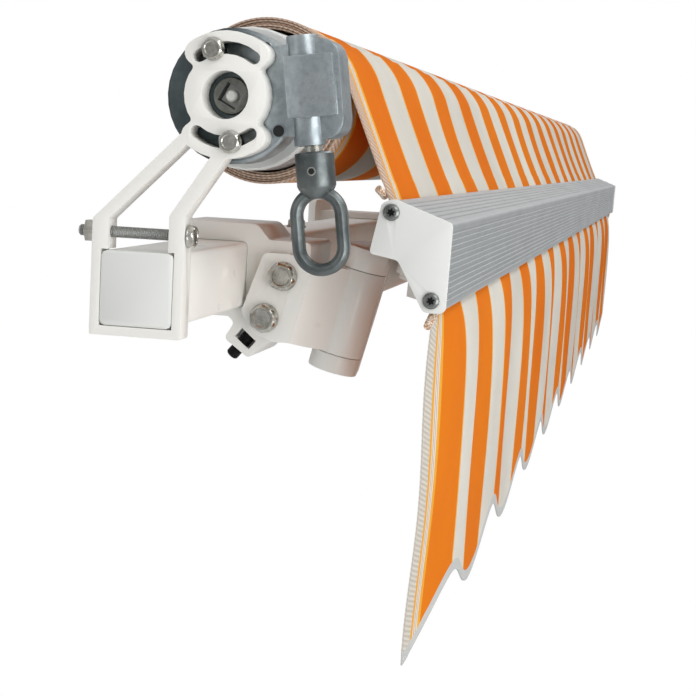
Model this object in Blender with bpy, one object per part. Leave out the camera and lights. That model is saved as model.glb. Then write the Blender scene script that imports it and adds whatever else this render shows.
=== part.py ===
"""Folding arm awning: torsion bar, roller with canopy, gearbox with crank eye, elbow arms and front bar.

Metres. +X runs along the awning from the gearbox end, +Y points to the wall, +Z is up.
The origin is the middle of the torsion bar's section, at the outer face of the gearbox end bracket.
"""

import math

import bmesh
import bpy
from mathutils import Matrix, Vector

for old in list(bpy.data.objects):
    bpy.data.objects.remove(old, do_unlink=True)

# Driving dimensions
AWNING_LENGTH = 2.400
GAP = 0.0003
SHARP_ANGLE = math.radians(35)
BAR_SIDE = 0.040
BAR_WALL = 0.002
BAR_CORNER = 0.003
CAP_LIP = 0.0022
CAP_PLUG = 0.014

# End brackets
BRACKET_DEPTH = 0.014
BRACKET_WALL = 0.005
BRACKET_HOOK = 0.0035
REAR_WALL_TOP = 0.0365
FRONT_WALL_TOP = 0.0400
REAR_LEG_WIDTH = 0.0088
FRONT_LEG_LEAN = 0.657
CLAMP_HEIGHT = 0.0095
CLAMP_BOLT_RADIUS = 0.003
CLAMP_HEX = 0.0055
CLAMP_NUT_HEIGHT = 0.005
RING_RADIUS = 0.022
RING_BORE = 0.0125
LOBE_RADIUS = 0.033
LOBE_HALF_ANGLE = math.radians(51)
LOBE_CORNER = 0.006
LOBE_FILLET = 0.002
SLOT_RADIUS = 0.0243
SLOT_HALF_WIDTH = 0.0033
SLOT_HALF_ANGLE = math.radians(37)
RING_BOLT_RADIUS = 0.003
UPPER_BOLT_ANGLE = math.radians(73)
LOWER_BOLT_ANGLE = math.radians(-100)

# Roller
ROLLER_FRONT = 0.044
ROLLER_RISE = 0.104
ROLLER_RADIUS = 0.039
ROLLER_WALL = 0.0012
ROLLER_START = 0.060
PLUG_FLANGE = 0.010
PLUG_DEPTH = 0.030
HUB_RADIUS = 0.0095
HUB_LENGTH = 0.036
SQUARE_SIDE = 0.010
SQUARE_TURN = 0.5
FABRIC_START = 0.088
TURN_PITCH = 0.00135
TURN_THICKNESS = 0.0009
TURNS = 5
TURN_STEPS = 28
TURN_END = math.radians(128)

# Gearbox and crank eye
GEARBOX_RADIUS = 0.0356
GEARBOX_DEPTH = 0.032
WORM_PLACE = 0.024
WORM_OFFSET = 0.0395
WORM_TILT = math.radians(7.5)
WORM_RADIUS = 0.005
BOSS_FRONT = 0.0190
BOSS_REAR = 0.0198
BOSS_TOP = 0.027
BOSS_BOTTOM = -0.028
BOSS_DEPTH = 0.030
PAD_FRONT = 0.0165
PAD_REAR = 0.0092
PAD_TOP = 0.0175
PAD_BOTTOM = -0.0145
PAD_RISE = 0.006
COLLAR_RADIUS = 0.0104
COLLAR_TOP = -0.0325
COLLAR_BOTTOM = -0.054
EYE_TOP = -0.050
EYE_BOTTOM = -0.098
EYE_HALF_WIDTH = 0.0155
EYE_RIM = 0.0068
EYE_THICKNESS = 0.009
EYE_PIN_RADIUS = 0.0016
EYE_PIN_DROP = 0.010

# Idler at the far end
IDLER_RADIUS = 0.030
IDLER_PIN_RADIUS = 0.006

# Wall brackets
WALL_BRACKET_PLACE = 0.640
WALL_FACE = 0.040
WALL_PLATE_THICKNESS = 0.006
WALL_PLATE_WIDTH = 0.090
WALL_PLATE_HEIGHT = 0.070
WALL_HOOK_WIDTH = 0.044
WALL_HOOK_WALL = 0.005
WALL_HOOK_TOP_LIP = 0.010
WALL_HOOK_BOTTOM_LIP = 0.005
WALL_HOLE_OFFSET = 0.034
WALL_HOLE_RADIUS = 0.0055

# Shoulders
ARM_PITCH = math.radians(13.8)
SHOULDER_PLACE = 0.180
SHOULDER_FRONT = 0.0808
SHOULDER_DROP = 0.0202
BARREL_RADIUS = 0.0155
BARREL_HALF = 0.027
FLANGE_PLACE = 0.145
FLANGE_THICKNESS = 0.008
SADDLE_LENGTH = 0.060
SADDLE_WALL = 0.006
SHOULDER_PIN_RADIUS = 0.006
PITCH_SCREW_RADIUS = 0.004
PITCH_SCREW_REACH = 0.0130
PITCH_SCREW_FOOT = 0.0150
PITCH_SCREW_REAR = 0.0215
PITCH_SCREW_DROP = 0.0395
PITCH_SCREW_TILT = math.radians(40)
SHOULDER_LEDGE = 0.022
LOCK_SCREW_FRONT = 0.0435
LOCK_SCREW_PLACE = 0.030
LOCK_SCREW_RADIUS = 0.003
KNUCKLE_BOLT_RADIUS = 0.005
UPPER_KNUCKLE_BOLT = (0.0393, 0.0123)
LOWER_KNUCKLE_BOLT = (0.0432, -0.0154)

# Arms
ARM_REACH = 0.760
ARM_FOLD = 0.030
ARM_LOW = 0.009
ARM_HIGH = 0.041
UPPER_ARM_THICKNESS = 0.020
FOREARM_THICKNESS = 0.018
FOREARM_INSET = 0.002
TUBE_WALL = 0.002
TUBE_CORNER = 0.006
FORK_TOP = 0.041
FORK_BOTTOM = -0.0385
FORK_NECK = 0.048
SPIGOT = 0.025
ELBOW_NECK = 0.040
ELBOW_RADIUS = 0.012
ELBOW_LUG = 0.008
ELBOW_PIN_RADIUS = 0.004
WRIST_NECK = 0.075
WRIST_RADIUS = 0.009
WRIST_LOW = 0.0325
WRIST_THICKNESS = 0.009
WRIST_PIN_RADIUS = 0.004
OPEN_PIVOT_CLEARANCE = 0.0008
HANGER_THICKNESS = 0.0045
HANGER_HALF = 0.030
HANGER_TURN_DOWN = 0.15
STUD_COLLAR = 0.0065
STUD_HEAD = 0.003

# Front bar
FRONT_START = 0.086
FRONT_CAP = 0.0037
FRONT_WALL = 0.0018
FRONT_CAP_OVERLAP = 0.0008
GROOVE_DEPTH = 0.0007
FACE_GROOVES = 12
TOP_GROOVES = 6
CAP_SCREW_RADIUS = 0.002

# Cloth in front of the roll
CLOTH = 0.0009
CLOTH_SAG = 0.0015
VALANCE_PLACE = 0.1462
VALANCE_LEAN = 0.004
VALANCE_DROP = 0.191
SCALLOPS = 10
SCALLOP_DEPTH = 0.015
WAVE_DEPTH = 0.009
WAVE_SHIFT = 0.6
VALANCE_COLUMNS = 80
VALANCE_ROWS = 3

HALF_BAR = BAR_SIDE / 2
ROLLER_AXIS = Vector((0.0, -ROLLER_FRONT, ROLLER_RISE))
SHOULDER_AXIS = Vector((SHOULDER_PLACE, -SHOULDER_FRONT, -SHOULDER_DROP))

# Section of the front bar: across and up from the middle of the torsion bar, then the corner's radius
FRONT_SECTION = (
    (-0.1212, 0.0528, 0.0050),
    (-0.1155, 0.0500, 0.0030),
    (-0.1100, 0.0228, 0.0015),
    (-0.1262, 0.0198, 0.0040),
    (-0.1420, -0.0085, 0.0040),
    (-0.1532, -0.0085, 0.0030),
    (-0.1546, 0.0408, 0.0025),
)
UPPER_SCREW = (-0.1206, 0.0458)
LOWER_SCREW = (-0.1458, -0.0022)


def material(name, color, roughness, metallic):
    made = bpy.data.materials.new(name)
    made.use_nodes = True
    shader = made.node_tree.nodes["Principled BSDF"]
    shader.inputs["Base Color"].default_value = (*color, 1.0)
    shader.inputs["Roughness"].default_value = roughness
    shader.inputs["Metallic"].default_value = metallic
    return made


def rounded(corners, steps=3):
    """Outline through the corners (u, v, radius), each turned into an arc of its radius."""
    points = []
    count = len(corners)
    for i, (u, v, radius) in enumerate(corners):
        here = Vector((u, v))
        if radius <= 0:
            points.append((u, v))
            continue
        back = (Vector(corners[i - 1][:2]) - here).normalized()
        ahead = (Vector(corners[(i + 1) % count][:2]) - here).normalized()
        half = back.angle(ahead) / 2
        reach = radius / math.tan(half)
        centre = here + (back + ahead).normalized() * (radius / math.sin(half))
        first = here + back * reach - centre
        last = here + ahead * reach - centre
        start = math.atan2(first.y, first.x)
        turn = math.atan2(last.y, last.x) - start
        turn = (turn + math.pi) % (2 * math.pi) - math.pi
        for k in range(steps + 1):
            angle = start + turn * k / steps
            points.append((centre.x + radius * math.cos(angle), centre.y + radius * math.sin(angle)))
    return points


def box_outline(u0, u1, v0, v1, radius=0.0, steps=2):
    return rounded([(u0, v0, radius), (u1, v0, radius), (u1, v1, radius), (u0, v1, radius)], steps)


def circle(u, v, radius, steps=20):
    turn = [2 * math.pi * k / steps for k in range(steps)]
    return [(u + radius * math.cos(a), v + radius * math.sin(a)) for a in turn]


def hull_outline(u0, v0, r0, u1, v1, r1, steps=10):
    """Two circles and the tangents between them."""
    away = math.atan2(v1 - v0, u1 - u0)
    lean = math.acos((r0 - r1) / math.hypot(u1 - u0, v1 - v0))
    points = []
    for k in range(steps + 1):
        angle = away - lean + 2 * lean * k / steps
        points.append((u1 + r1 * math.cos(angle), v1 + r1 * math.sin(angle)))
    for k in range(steps + 1):
        angle = away + lean + 2 * (math.pi - lean) * k / steps
        points.append((u0 + r0 * math.cos(angle), v0 + r0 * math.sin(angle)))
    return points


# Which local axes an outline's two coordinates and its depth run along
ALONG_X = Matrix(((0, 0, 1), (1, 0, 0), (0, 1, 0)))
ALONG_Y = Matrix(((1, 0, 0), (0, 0, 1), (0, 1, 0)))
ALONG_Z = Matrix.Identity(3)


def prism(outline, low, high, axes=ALONG_X, holes=()):
    """Closed mesh of an outline with holes, drawn out from low to high."""
    bm = bmesh.new()
    for loop in (outline, *holes):
        verts = [bm.verts.new((u, v, low)) for u, v in loop]
        for i, vert in enumerate(verts):
            bm.edges.new((vert, verts[(i + 1) % len(verts)]))
    bmesh.ops.triangle_fill(bm, use_beauty=True, use_dissolve=False, edges=bm.edges[:])
    drawn = bmesh.ops.extrude_face_region(bm, geom=bm.faces[:])
    top = [item for item in drawn["geom"] if isinstance(item, bmesh.types.BMVert)]
    bmesh.ops.translate(bm, verts=top, vec=(0, 0, high - low))
    bmesh.ops.transform(bm, matrix=axes.to_4x4(), verts=bm.verts[:])
    bmesh.ops.recalc_face_normals(bm, faces=bm.faces[:])
    return bm


def loft(rings, axes=ALONG_Z):
    """Closed mesh through rings of equal length, each a list of (u, v, depth)."""
    bm = bmesh.new()
    rows = [[bm.verts.new(point) for point in ring] for ring in rings]
    count = len(rows[0])
    for lower, upper in zip(rows, rows[1:]):
        for i in range(count):
            j = (i + 1) % count
            bm.faces.new((lower[i], lower[j], upper[j], upper[i]))
    bm.faces.new(rows[0])
    bm.faces.new(rows[-1])
    bmesh.ops.transform(bm, matrix=axes.to_4x4(), verts=bm.verts[:])
    bmesh.ops.recalc_face_normals(bm, faces=bm.faces[:])
    return bm


def turned(profile, axes=ALONG_X, steps=24):
    """Solid of revolution from (depth, radius) pairs, ends closed."""
    rings = []
    for depth, radius in profile:
        rings.append([(u, v, depth) for u, v in circle(0, 0, radius, steps)])
    return loft(rings, axes)


def tube_ring(outer, inner, low, high, axes=ALONG_X, steps=32):
    return prism(circle(0, 0, outer, steps), low, high, axes, [circle(0, 0, inner, steps)])


def mirrored(bm, side):
    if side < 0:
        bmesh.ops.scale(bm, vec=(-1, 1, 1), verts=bm.verts[:])
        bmesh.ops.recalc_face_normals(bm, faces=bm.faces[:])
    return bm


def add(name, bm, finish, parent=None, place=(0, 0, 0), side=1):
    mirrored(bm, side)
    mesh = bpy.data.meshes.new(name)
    bm.to_mesh(mesh)
    bm.free()
    if finish is not None:
        mesh.materials.append(finish)
    mesh.shade_smooth()
    mesh.set_sharp_from_angle(angle=SHARP_ANGLE)
    made = bpy.data.objects.new(name, mesh)
    bpy.context.scene.collection.objects.link(made)
    made.location = place
    made.parent = parent
    return made


def pivot(name, place, tilt=0.0, parent=None):
    made = bpy.data.objects.new(name, None)
    bpy.context.scene.collection.objects.link(made)
    made.location = place
    made.rotation_euler.x = tilt
    made.parent = parent
    return made


def combine(target, bm, operation, label, side=1):
    """Joins the mesh to the target, or cuts it out, in the target's own coordinates."""
    tool = add(target.name + "_" + label, bm, None, target.parent, target.location, side)
    tool.hide_render = True
    tool.display_type = "WIRE"
    step = target.modifiers.new(label, "BOOLEAN")
    step.operation = operation
    step.solver = "EXACT"
    step.object = tool


def sharpen_cuts():
    """Splits the sharp edges of every piece that a Boolean has changed, so that it shades cleanly."""
    for made in bpy.data.objects:
        if not made.hide_render and any(step.type == "BOOLEAN" for step in made.modifiers):
            split = made.modifiers.new("sharp_edges", "EDGE_SPLIT")
            split.split_angle = SHARP_ANGLE
            split.use_edge_sharp = False


def hex_bolt(name, parent, place, direction, shank, length, head, head_height, finish):
    """Hexagon bolt with a washer face. Its seat is at place and its shank runs along direction."""
    sides = 12

    def ring(depth, radius, hexagon=0.0):
        points = []
        for k in range(sides):
            angle = 2 * math.pi * k / sides
            flat = math.cos(math.pi / 6) / math.cos((angle % (math.pi / 3)) - math.pi / 6)
            reach = radius * (1 + hexagon * (flat - 1))
            points.append((reach * math.cos(angle), reach * math.sin(angle), depth))
        return points

    washer = head * 1.12
    rings = [
        ring(-head_height, head * 0.85),
        ring(-head_height + head * 0.10, head, 1.0),
        ring(-head * 0.20, head, 1.0),
        ring(-head * 0.20, washer),
        ring(0, washer),
        ring(0, shank),
        ring(length, shank),
    ]
    made = add(name, loft(rings), finish, parent, place)
    made.rotation_mode = "QUATERNION"
    made.rotation_quaternion = Vector(direction).to_track_quat("Z", "Y")
    return made


# Finishes
white_paint = material("white_powder_coat", (0.80, 0.79, 0.76), 0.32, 0.0)
white_plastic = material("white_plastic", (0.78, 0.78, 0.77), 0.38, 0.0)
cast_zinc = material("cast_zinc", (0.42, 0.44, 0.45), 0.38, 0.9)
dark_steel = material("dark_steel", (0.10, 0.11, 0.11), 0.35, 0.9)
bolt_steel = material("bolt_steel", (0.55, 0.54, 0.50), 0.28, 1.0)
black_steel = material("black_steel", (0.05, 0.05, 0.05), 0.40, 0.8)
aluminium = material("mill_aluminium", (0.62, 0.63, 0.64), 0.34, 0.9)
galvanised = material("galvanised_steel", (0.60, 0.61, 0.61), 0.40, 0.9)
canopy_cloth = material("striped_cloth", (0.86, 0.45, 0.13), 0.85, 0.0)


def torsion_bar():
    start = CAP_LIP + GAP
    outer = box_outline(-HALF_BAR, HALF_BAR, -HALF_BAR, HALF_BAR, BAR_CORNER)
    inside = HALF_BAR - BAR_WALL
    bore = box_outline(-inside, inside, -inside, inside, BAR_CORNER - BAR_WALL)
    add("torsion_bar", prism(outer, start, AWNING_LENGTH - start, ALONG_X, [bore]), white_paint)


def bar_end_cap(end, side, start):
    plug = HALF_BAR - BAR_WALL - GAP
    rings = []
    for depth, half, corner in (
        (0.0, HALF_BAR - 0.0008, BAR_CORNER),
        (0.0006, HALF_BAR, BAR_CORNER),
        (CAP_LIP, HALF_BAR, BAR_CORNER),
        (CAP_LIP, plug, BAR_CORNER - BAR_WALL),
        (CAP_PLUG, plug, BAR_CORNER - BAR_WALL),
    ):
        rings.append([(u, v, depth) for u, v in box_outline(-half, half, -half, half, corner)])
    add("bar_end_cap_" + end, loft(rings, ALONG_X), white_plastic, None, (start, 0, 0), side)


def bracket_ring():
    """Bearing ring whose rim swells into an upper and a lower lobe with round ends."""
    corners = []
    for middle in (math.pi / 2, -math.pi / 2):
        for k in range(-5, 6):
            share = k / 5
            reach = LOBE_RADIUS
            turn = share * LOBE_HALF_ANGLE
            corner = LOBE_CORNER if abs(k) == 5 else 0
            if abs(k) == 4:
                turn = math.copysign(LOBE_HALF_ANGLE * 0.7, share)
            corners.append((middle - turn, reach, corner))
        for k in range(7):
            turn = LOBE_HALF_ANGLE + (math.pi - 2 * LOBE_HALF_ANGLE) * k / 6
            corners.append((middle - turn, RING_RADIUS, LOBE_FILLET if k in (0, 6) else 0))
    points = []
    for angle, reach, corner in corners:
        across = reach * math.cos(angle) - ROLLER_FRONT
        points.append((across, reach * math.sin(angle) + ROLLER_RISE, corner))
    return rounded(points, 5)


def arc_slot(middle):
    """Slot along the bolt circle, centred on the angle middle."""
    points = []
    ends = ((SLOT_RADIUS + SLOT_HALF_WIDTH, 1, 1), (SLOT_RADIUS - SLOT_HALF_WIDTH, -1, -1))
    for radius, way, cap in ends:
        for k in range(7):
            angle = middle + way * SLOT_HALF_ANGLE * (k / 3 - 1)
            points.append((radius * math.cos(angle), radius * math.sin(angle)))
        tip = middle + way * SLOT_HALF_ANGLE
        for k in range(1, 5):
            turn = tip + (0 if cap > 0 else math.pi) + math.pi * k / 5
            points.append(
                (
                    SLOT_RADIUS * math.cos(tip) + SLOT_HALF_WIDTH * math.cos(turn),
                    SLOT_RADIUS * math.sin(tip) + SLOT_HALF_WIDTH * math.sin(turn),
                )
            )
    return [(u - ROLLER_FRONT, v + ROLLER_RISE) for u, v in points]


def end_bracket(end, side, start):
    """Ring on two legs, whose feet close round the bar like a fork open at the top."""
    bore = HALF_BAR + GAP
    outer = bore + BRACKET_WALL
    over = HALF_BAR + GAP * 2
    hook = bore - BRACKET_HOOK
    rear_in = outer - REAR_LEG_WIDTH
    rear_top = ROLLER_RISE - LOBE_RADIUS * 0.51
    run = rear_top - REAR_WALL_TOP
    front_top = ROLLER_RISE - LOBE_RADIUS * 0.90
    lean = (front_top - FRONT_WALL_TOP) * FRONT_LEG_LEAN
    foot = [
        (outer, -outer, 0.001),
        (outer, REAR_WALL_TOP, 0.002),
        (outer - run, rear_top, 0),
        (rear_in - run, rear_top, 0),
        (rear_in, REAR_WALL_TOP, 0.002),
        (rear_in, over, 0),
        (bore, over, 0),
        (bore, -bore, 0.0005),
        (-bore, -bore, 0.0005),
        (-bore, over, 0),
        (-hook, over, 0),
        (-hook, FRONT_WALL_TOP, 0.002),
        (-hook - lean, front_top, 0),
        (-outer - lean, front_top, 0),
        (-outer, FRONT_WALL_TOP, 0.002),
        (-outer, -outer, 0.001),
    ]
    ring = prism(bracket_ring(), 0, BRACKET_DEPTH)
    made = add("end_bracket_" + end, ring, white_paint, None, (start, 0, 0), side)
    combine(made, prism(rounded(foot, 3), 0, BRACKET_DEPTH), "UNION", "feet", side)
    deep = (-0.002, BRACKET_DEPTH + 0.002)
    hole = [(u - ROLLER_FRONT, v + ROLLER_RISE) for u, v in circle(0, 0, RING_BORE, 28)]
    combine(made, prism(hole, *deep), "DIFFERENCE", "bearing", side)
    for label, middle in (("upper_slot", math.pi / 2), ("lower_slot", -math.pi / 2)):
        combine(made, prism(arc_slot(middle), *deep), "DIFFERENCE", label, side)
    drill = circle(BRACKET_DEPTH / 2, HALF_BAR + CLAMP_HEIGHT, CLAMP_BOLT_RADIUS + GAP, 12)
    combine(made, prism(drill, -0.05, 0.05, ALONG_Y), "DIFFERENCE", "clamp_hole", side)


def hexagon(radius):
    return [(radius * math.cos(math.pi * k / 3), radius * math.sin(math.pi * k / 3)) for k in range(6)]


def clamp_bolt(end, side, start):
    """Bolt that draws the bracket's two walls together above the bar, and its nut."""
    outer = HALF_BAR + GAP + BRACKET_WALL + GAP
    place = Vector((start + side * BRACKET_DEPTH / 2, -outer, HALF_BAR + CLAMP_HEIGHT))
    length = 2 * outer + CLAMP_NUT_HEIGHT + 0.004
    name = "clamp_bolt_" + end
    hex_bolt(name, None, place, (0, 1, 0), CLAMP_BOLT_RADIUS, length, CLAMP_HEX, 0.0042, bolt_steel)
    corner = CLAMP_HEX / math.cos(math.pi / 6)
    bore = circle(0, 0, CLAMP_BOLT_RADIUS + GAP, 16)
    nut = prism(hexagon(corner), 0, CLAMP_NUT_HEIGHT, ALONG_Y, [bore])
    add("clamp_nut_" + end, nut, bolt_steel, None, (place.x, outer, place.z))


def ring_bolts(end, side, start):
    for label, angle in (("upper", UPPER_BOLT_ANGLE), ("lower", LOWER_BOLT_ANGLE)):
        place = ROLLER_AXIS + Vector((start - side * GAP, 0, 0))
        place += SLOT_RADIUS * Vector((0, math.cos(angle), math.sin(angle)))
        name = "ring_bolt_" + label + "_" + end
        hex_bolt(name, None, place, (side, 0, 0), RING_BOLT_RADIUS, 0.026, 0.0054, 0.0046, bolt_steel)


def worm_frame():
    """Place and tilt of the worm's axis, which the gearbox and the crank share."""
    sideways = Vector((0, -math.cos(WORM_TILT), math.sin(WORM_TILT)))
    return ROLLER_AXIS + Vector((WORM_PLACE, 0, 0)) + WORM_OFFSET * sideways


def bolt_bores(made, side, depth):
    for label, angle in (("upper_bore", UPPER_BOLT_ANGLE), ("lower_bore", LOWER_BOLT_ANGLE)):
        spot = (SLOT_RADIUS * math.cos(angle), SLOT_RADIUS * math.sin(angle))
        drill = circle(*spot, RING_BOLT_RADIUS + GAP, 12)
        combine(made, prism(drill, -0.002, depth), "DIFFERENCE", label, side)


def gearbox_housing():
    face = BRACKET_DEPTH + GAP
    chamfer = 0.0015
    disc = [
        (0, GEARBOX_RADIUS - chamfer),
        (chamfer, GEARBOX_RADIUS),
        (GEARBOX_DEPTH - 0.008, GEARBOX_RADIUS),
        (GEARBOX_DEPTH - 0.006, GEARBOX_RADIUS - 0.003),
        (GEARBOX_DEPTH, GEARBOX_RADIUS - 0.003),
    ]
    made = add("gearbox_housing", turned(disc, ALONG_X, 36), cast_zinc, None, (face, *ROLLER_AXIS.yz))
    offset = worm_frame() - made.location
    turn = Matrix.Rotation(-WORM_TILT, 3, "X")

    def place(bm):
        bmesh.ops.transform(bm, matrix=Matrix.Translation(offset) @ turn.to_4x4(), verts=bm.verts[:])
        return bm

    half = BOSS_DEPTH / 2
    boss = [
        (BOSS_REAR, BOSS_BOTTOM + 0.006, 0.002),
        (BOSS_REAR, BOSS_TOP - 0.004, 0.002),
        (-BOSS_FRONT, BOSS_TOP, 0.010),
        (-BOSS_FRONT, BOSS_BOTTOM, 0.010),
    ]
    combine(made, place(prism(rounded(boss, 4), face - WORM_PLACE, half)), "UNION", "worm_boss")
    pad = box_outline(-PAD_FRONT, PAD_REAR, PAD_BOTTOM, PAD_TOP, 0.001, 2)
    combine(made, place(prism(pad, face - WORM_PLACE - PAD_RISE, 0.0)), "UNION", "worm_pad")
    barrel = turned([(BOSS_BOTTOM - 0.001, 0.0085), (BOSS_TOP + 0.001, 0.0085)], ALONG_Z, 20)
    bmesh.ops.translate(barrel, vec=(0, 0.0005, 0), verts=barrel.verts[:])
    bmesh.ops.translate(barrel, vec=(-0.005, 0, 0), verts=barrel.verts[:])
    combine(made, place(barrel), "UNION", "worm_barrel")
    wide = WORM_RADIUS + GAP
    bore = turned([(BOSS_BOTTOM - 0.01, wide), (BOSS_TOP + 0.01, wide)], ALONG_Z, 16)
    combine(made, place(bore), "DIFFERENCE", "worm_bore")
    hub = turned([(-0.002, HUB_RADIUS + GAP), (GEARBOX_DEPTH + 0.002, HUB_RADIUS + GAP)])
    combine(made, hub, "DIFFERENCE", "hub_bore")
    bolt_bores(made, 1, 0.018)


def worm_shaft(crank):
    """Input shaft, turned down at its foot to enter the eye's collar."""
    profile = [
        (COLLAR_TOP - 0.012, WORM_RADIUS - 0.0012),
        (COLLAR_TOP + GAP, WORM_RADIUS - 0.0012),
        (COLLAR_TOP + GAP, WORM_RADIUS),
        (BOSS_TOP + 0.001, WORM_RADIUS),
        (BOSS_TOP + 0.002, WORM_RADIUS - 0.001),
    ]
    add("worm_shaft", turned(profile, ALONG_Z, 16), bolt_steel, crank)


def crank_eye(crank):
    """Cast oval eye under a round collar, into which the crank's hook goes."""
    half = EYE_THICKNESS / 2
    rim = box_outline(-EYE_HALF_WIDTH, EYE_HALF_WIDTH, EYE_BOTTOM, EYE_TOP, EYE_HALF_WIDTH - 0.0006, 5)
    inner = EYE_HALF_WIDTH - EYE_RIM
    top = EYE_TOP - EYE_RIM - 0.001
    bottom = EYE_BOTTOM + EYE_RIM
    hole = box_outline(-inner, inner, bottom, top, inner - 0.0004, 5)
    made = add("crank_eye", prism(rim, -half, half, ALONG_X, [hole]), dark_steel, crank)
    edge = made.modifiers.new("rounding", "BEVEL")
    edge.width = 0.0022
    edge.segments = 1
    edge.limit_method = "ANGLE"
    edge.angle_limit = math.radians(40)
    collar = [
        (COLLAR_BOTTOM - 0.002, COLLAR_RADIUS * 0.62),
        (COLLAR_BOTTOM + 0.003, COLLAR_RADIUS * 0.98),
        (COLLAR_TOP - 0.0008, COLLAR_RADIUS),
        (COLLAR_TOP, COLLAR_RADIUS - 0.0008),
    ]
    combine(made, turned(collar, ALONG_Z, 20), "UNION", "collar")
    socket = WORM_RADIUS - 0.0012 + GAP
    bore = turned([(COLLAR_TOP - 0.0123, socket), (COLLAR_TOP + 0.002, socket)], ALONG_Z, 16)
    combine(made, bore, "DIFFERENCE", "socket")
    drill = circle(0, COLLAR_TOP - EYE_PIN_DROP, EYE_PIN_RADIUS + GAP, 12)
    combine(made, prism(drill, -0.02, -socket + 0.001, ALONG_X), "DIFFERENCE", "pin_hole")


def eye_pin(crank):
    outside = COLLAR_RADIUS - 0.0006
    inside = WORM_RADIUS - 0.0012 + GAP
    profile = [
        (-outside, EYE_PIN_RADIUS * 0.8),
        (-outside + 0.0006, EYE_PIN_RADIUS),
        (-inside, EYE_PIN_RADIUS),
    ]
    add("eye_pin", turned(profile, ALONG_X, 12), black_steel, crank, (0, 0, COLLAR_TOP - EYE_PIN_DROP))


def turned_square(half):
    """Square as the roller's pin stands in its hub at rest."""
    turn = Matrix.Rotation(SQUARE_TURN, 2)
    return [tuple(turn @ Vector(point)) for point in box_outline(-half, half, -half, half)]


def roller():
    end = AWNING_LENGTH - ROLLER_START
    outside = ROLLER_RADIUS
    inside = outside - ROLLER_WALL
    tube = tube_ring(outside, inside, ROLLER_START, end, ALONG_X, 32)
    add("roller_tube", tube, galvanised, None, ROLLER_AXIS)
    flange = ROLLER_START - PLUG_FLANGE
    deep = ROLLER_START + PLUG_DEPTH
    lip = [
        (flange, outside - 0.001),
        (flange + 0.001, outside),
        (ROLLER_START - GAP, outside),
        (ROLLER_START - GAP, inside - GAP),
        (deep, inside - GAP),
    ]
    near = add("roller_plug_near", turned(lip, ALONG_X, 28), white_plastic, None, ROLLER_AXIS)
    seat = BRACKET_DEPTH + 0.004
    combine(near, prism(turned_square(SQUARE_SIDE / 2), seat, flange + 0.005), "UNION", "square_pin")
    tip = turned([(seat - 0.006, 0.0022), (seat - 0.005, 0.0032), (seat + 0.004, 0.0032)], ALONG_X, 16)
    combine(near, tip, "UNION", "pin_tip")
    far_end = ROLLER_AXIS + Vector((AWNING_LENGTH, 0, 0))
    far = add("roller_plug_far", turned(lip, ALONG_X, 28), white_plastic, None, far_end, -1)
    pin = turned([(BRACKET_DEPTH * 0.4, IDLER_PIN_RADIUS), (flange + 0.005, IDLER_PIN_RADIUS)], ALONG_X, 20)
    combine(far, pin, "UNION", "idler_pin", -1)


def drive_hub():
    """Output hub of the gearbox, with the square socket for the roller's pin."""
    start = BRACKET_DEPTH - 0.002
    socket = turned_square(SQUARE_SIDE / 2 + GAP)
    hub = prism(circle(0, 0, HUB_RADIUS, 24), start, start + HUB_LENGTH - GAP, ALONG_X, [socket])
    add("drive_hub", hub, cast_zinc, None, ROLLER_AXIS)


def idler_housing():
    face = BRACKET_DEPTH + GAP
    disc = [
        (0, IDLER_RADIUS - 0.0015),
        (0.0015, IDLER_RADIUS),
        (0.022, IDLER_RADIUS),
        (0.026, IDLER_RADIUS - 0.008),
    ]
    place = (AWNING_LENGTH - face, *ROLLER_AXIS.yz)
    made = add("idler_housing", turned(disc, ALONG_X, 28), cast_zinc, None, place, -1)
    bore = turned([(-0.002, IDLER_PIN_RADIUS + GAP), (0.03, IDLER_PIN_RADIUS + GAP)], ALONG_X, 20)
    combine(made, bore, "DIFFERENCE", "bush", -1)
    bolt_bores(made, -1, 0.018)


def roll_radius(turns):
    """Inner radius of the wound cloth after so many turns, whose flat facets clear the tube."""
    return (ROLLER_RADIUS + GAP) / math.cos(math.pi / TURN_STEPS) + TURN_PITCH * turns


def canopy_roll():
    """Canopy wound on the roller: one strip in a spiral, its edges showing as turns."""
    count = TURNS * TURN_STEPS
    inner = []
    outer = []
    for k in range(count + 1):
        angle = TURN_END - 2 * math.pi * (count - k) / TURN_STEPS
        radius = roll_radius(k / TURN_STEPS)
        ray = Vector((math.cos(angle), math.sin(angle)))
        inner.append(tuple(ray * radius))
        outer.append(tuple(ray * (radius + TURN_THICKNESS)))
    strip = prism(outer + inner[::-1], FABRIC_START, AWNING_LENGTH - FABRIC_START)
    add("canopy_roll", strip, canopy_cloth, None, ROLLER_AXIS)


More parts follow.
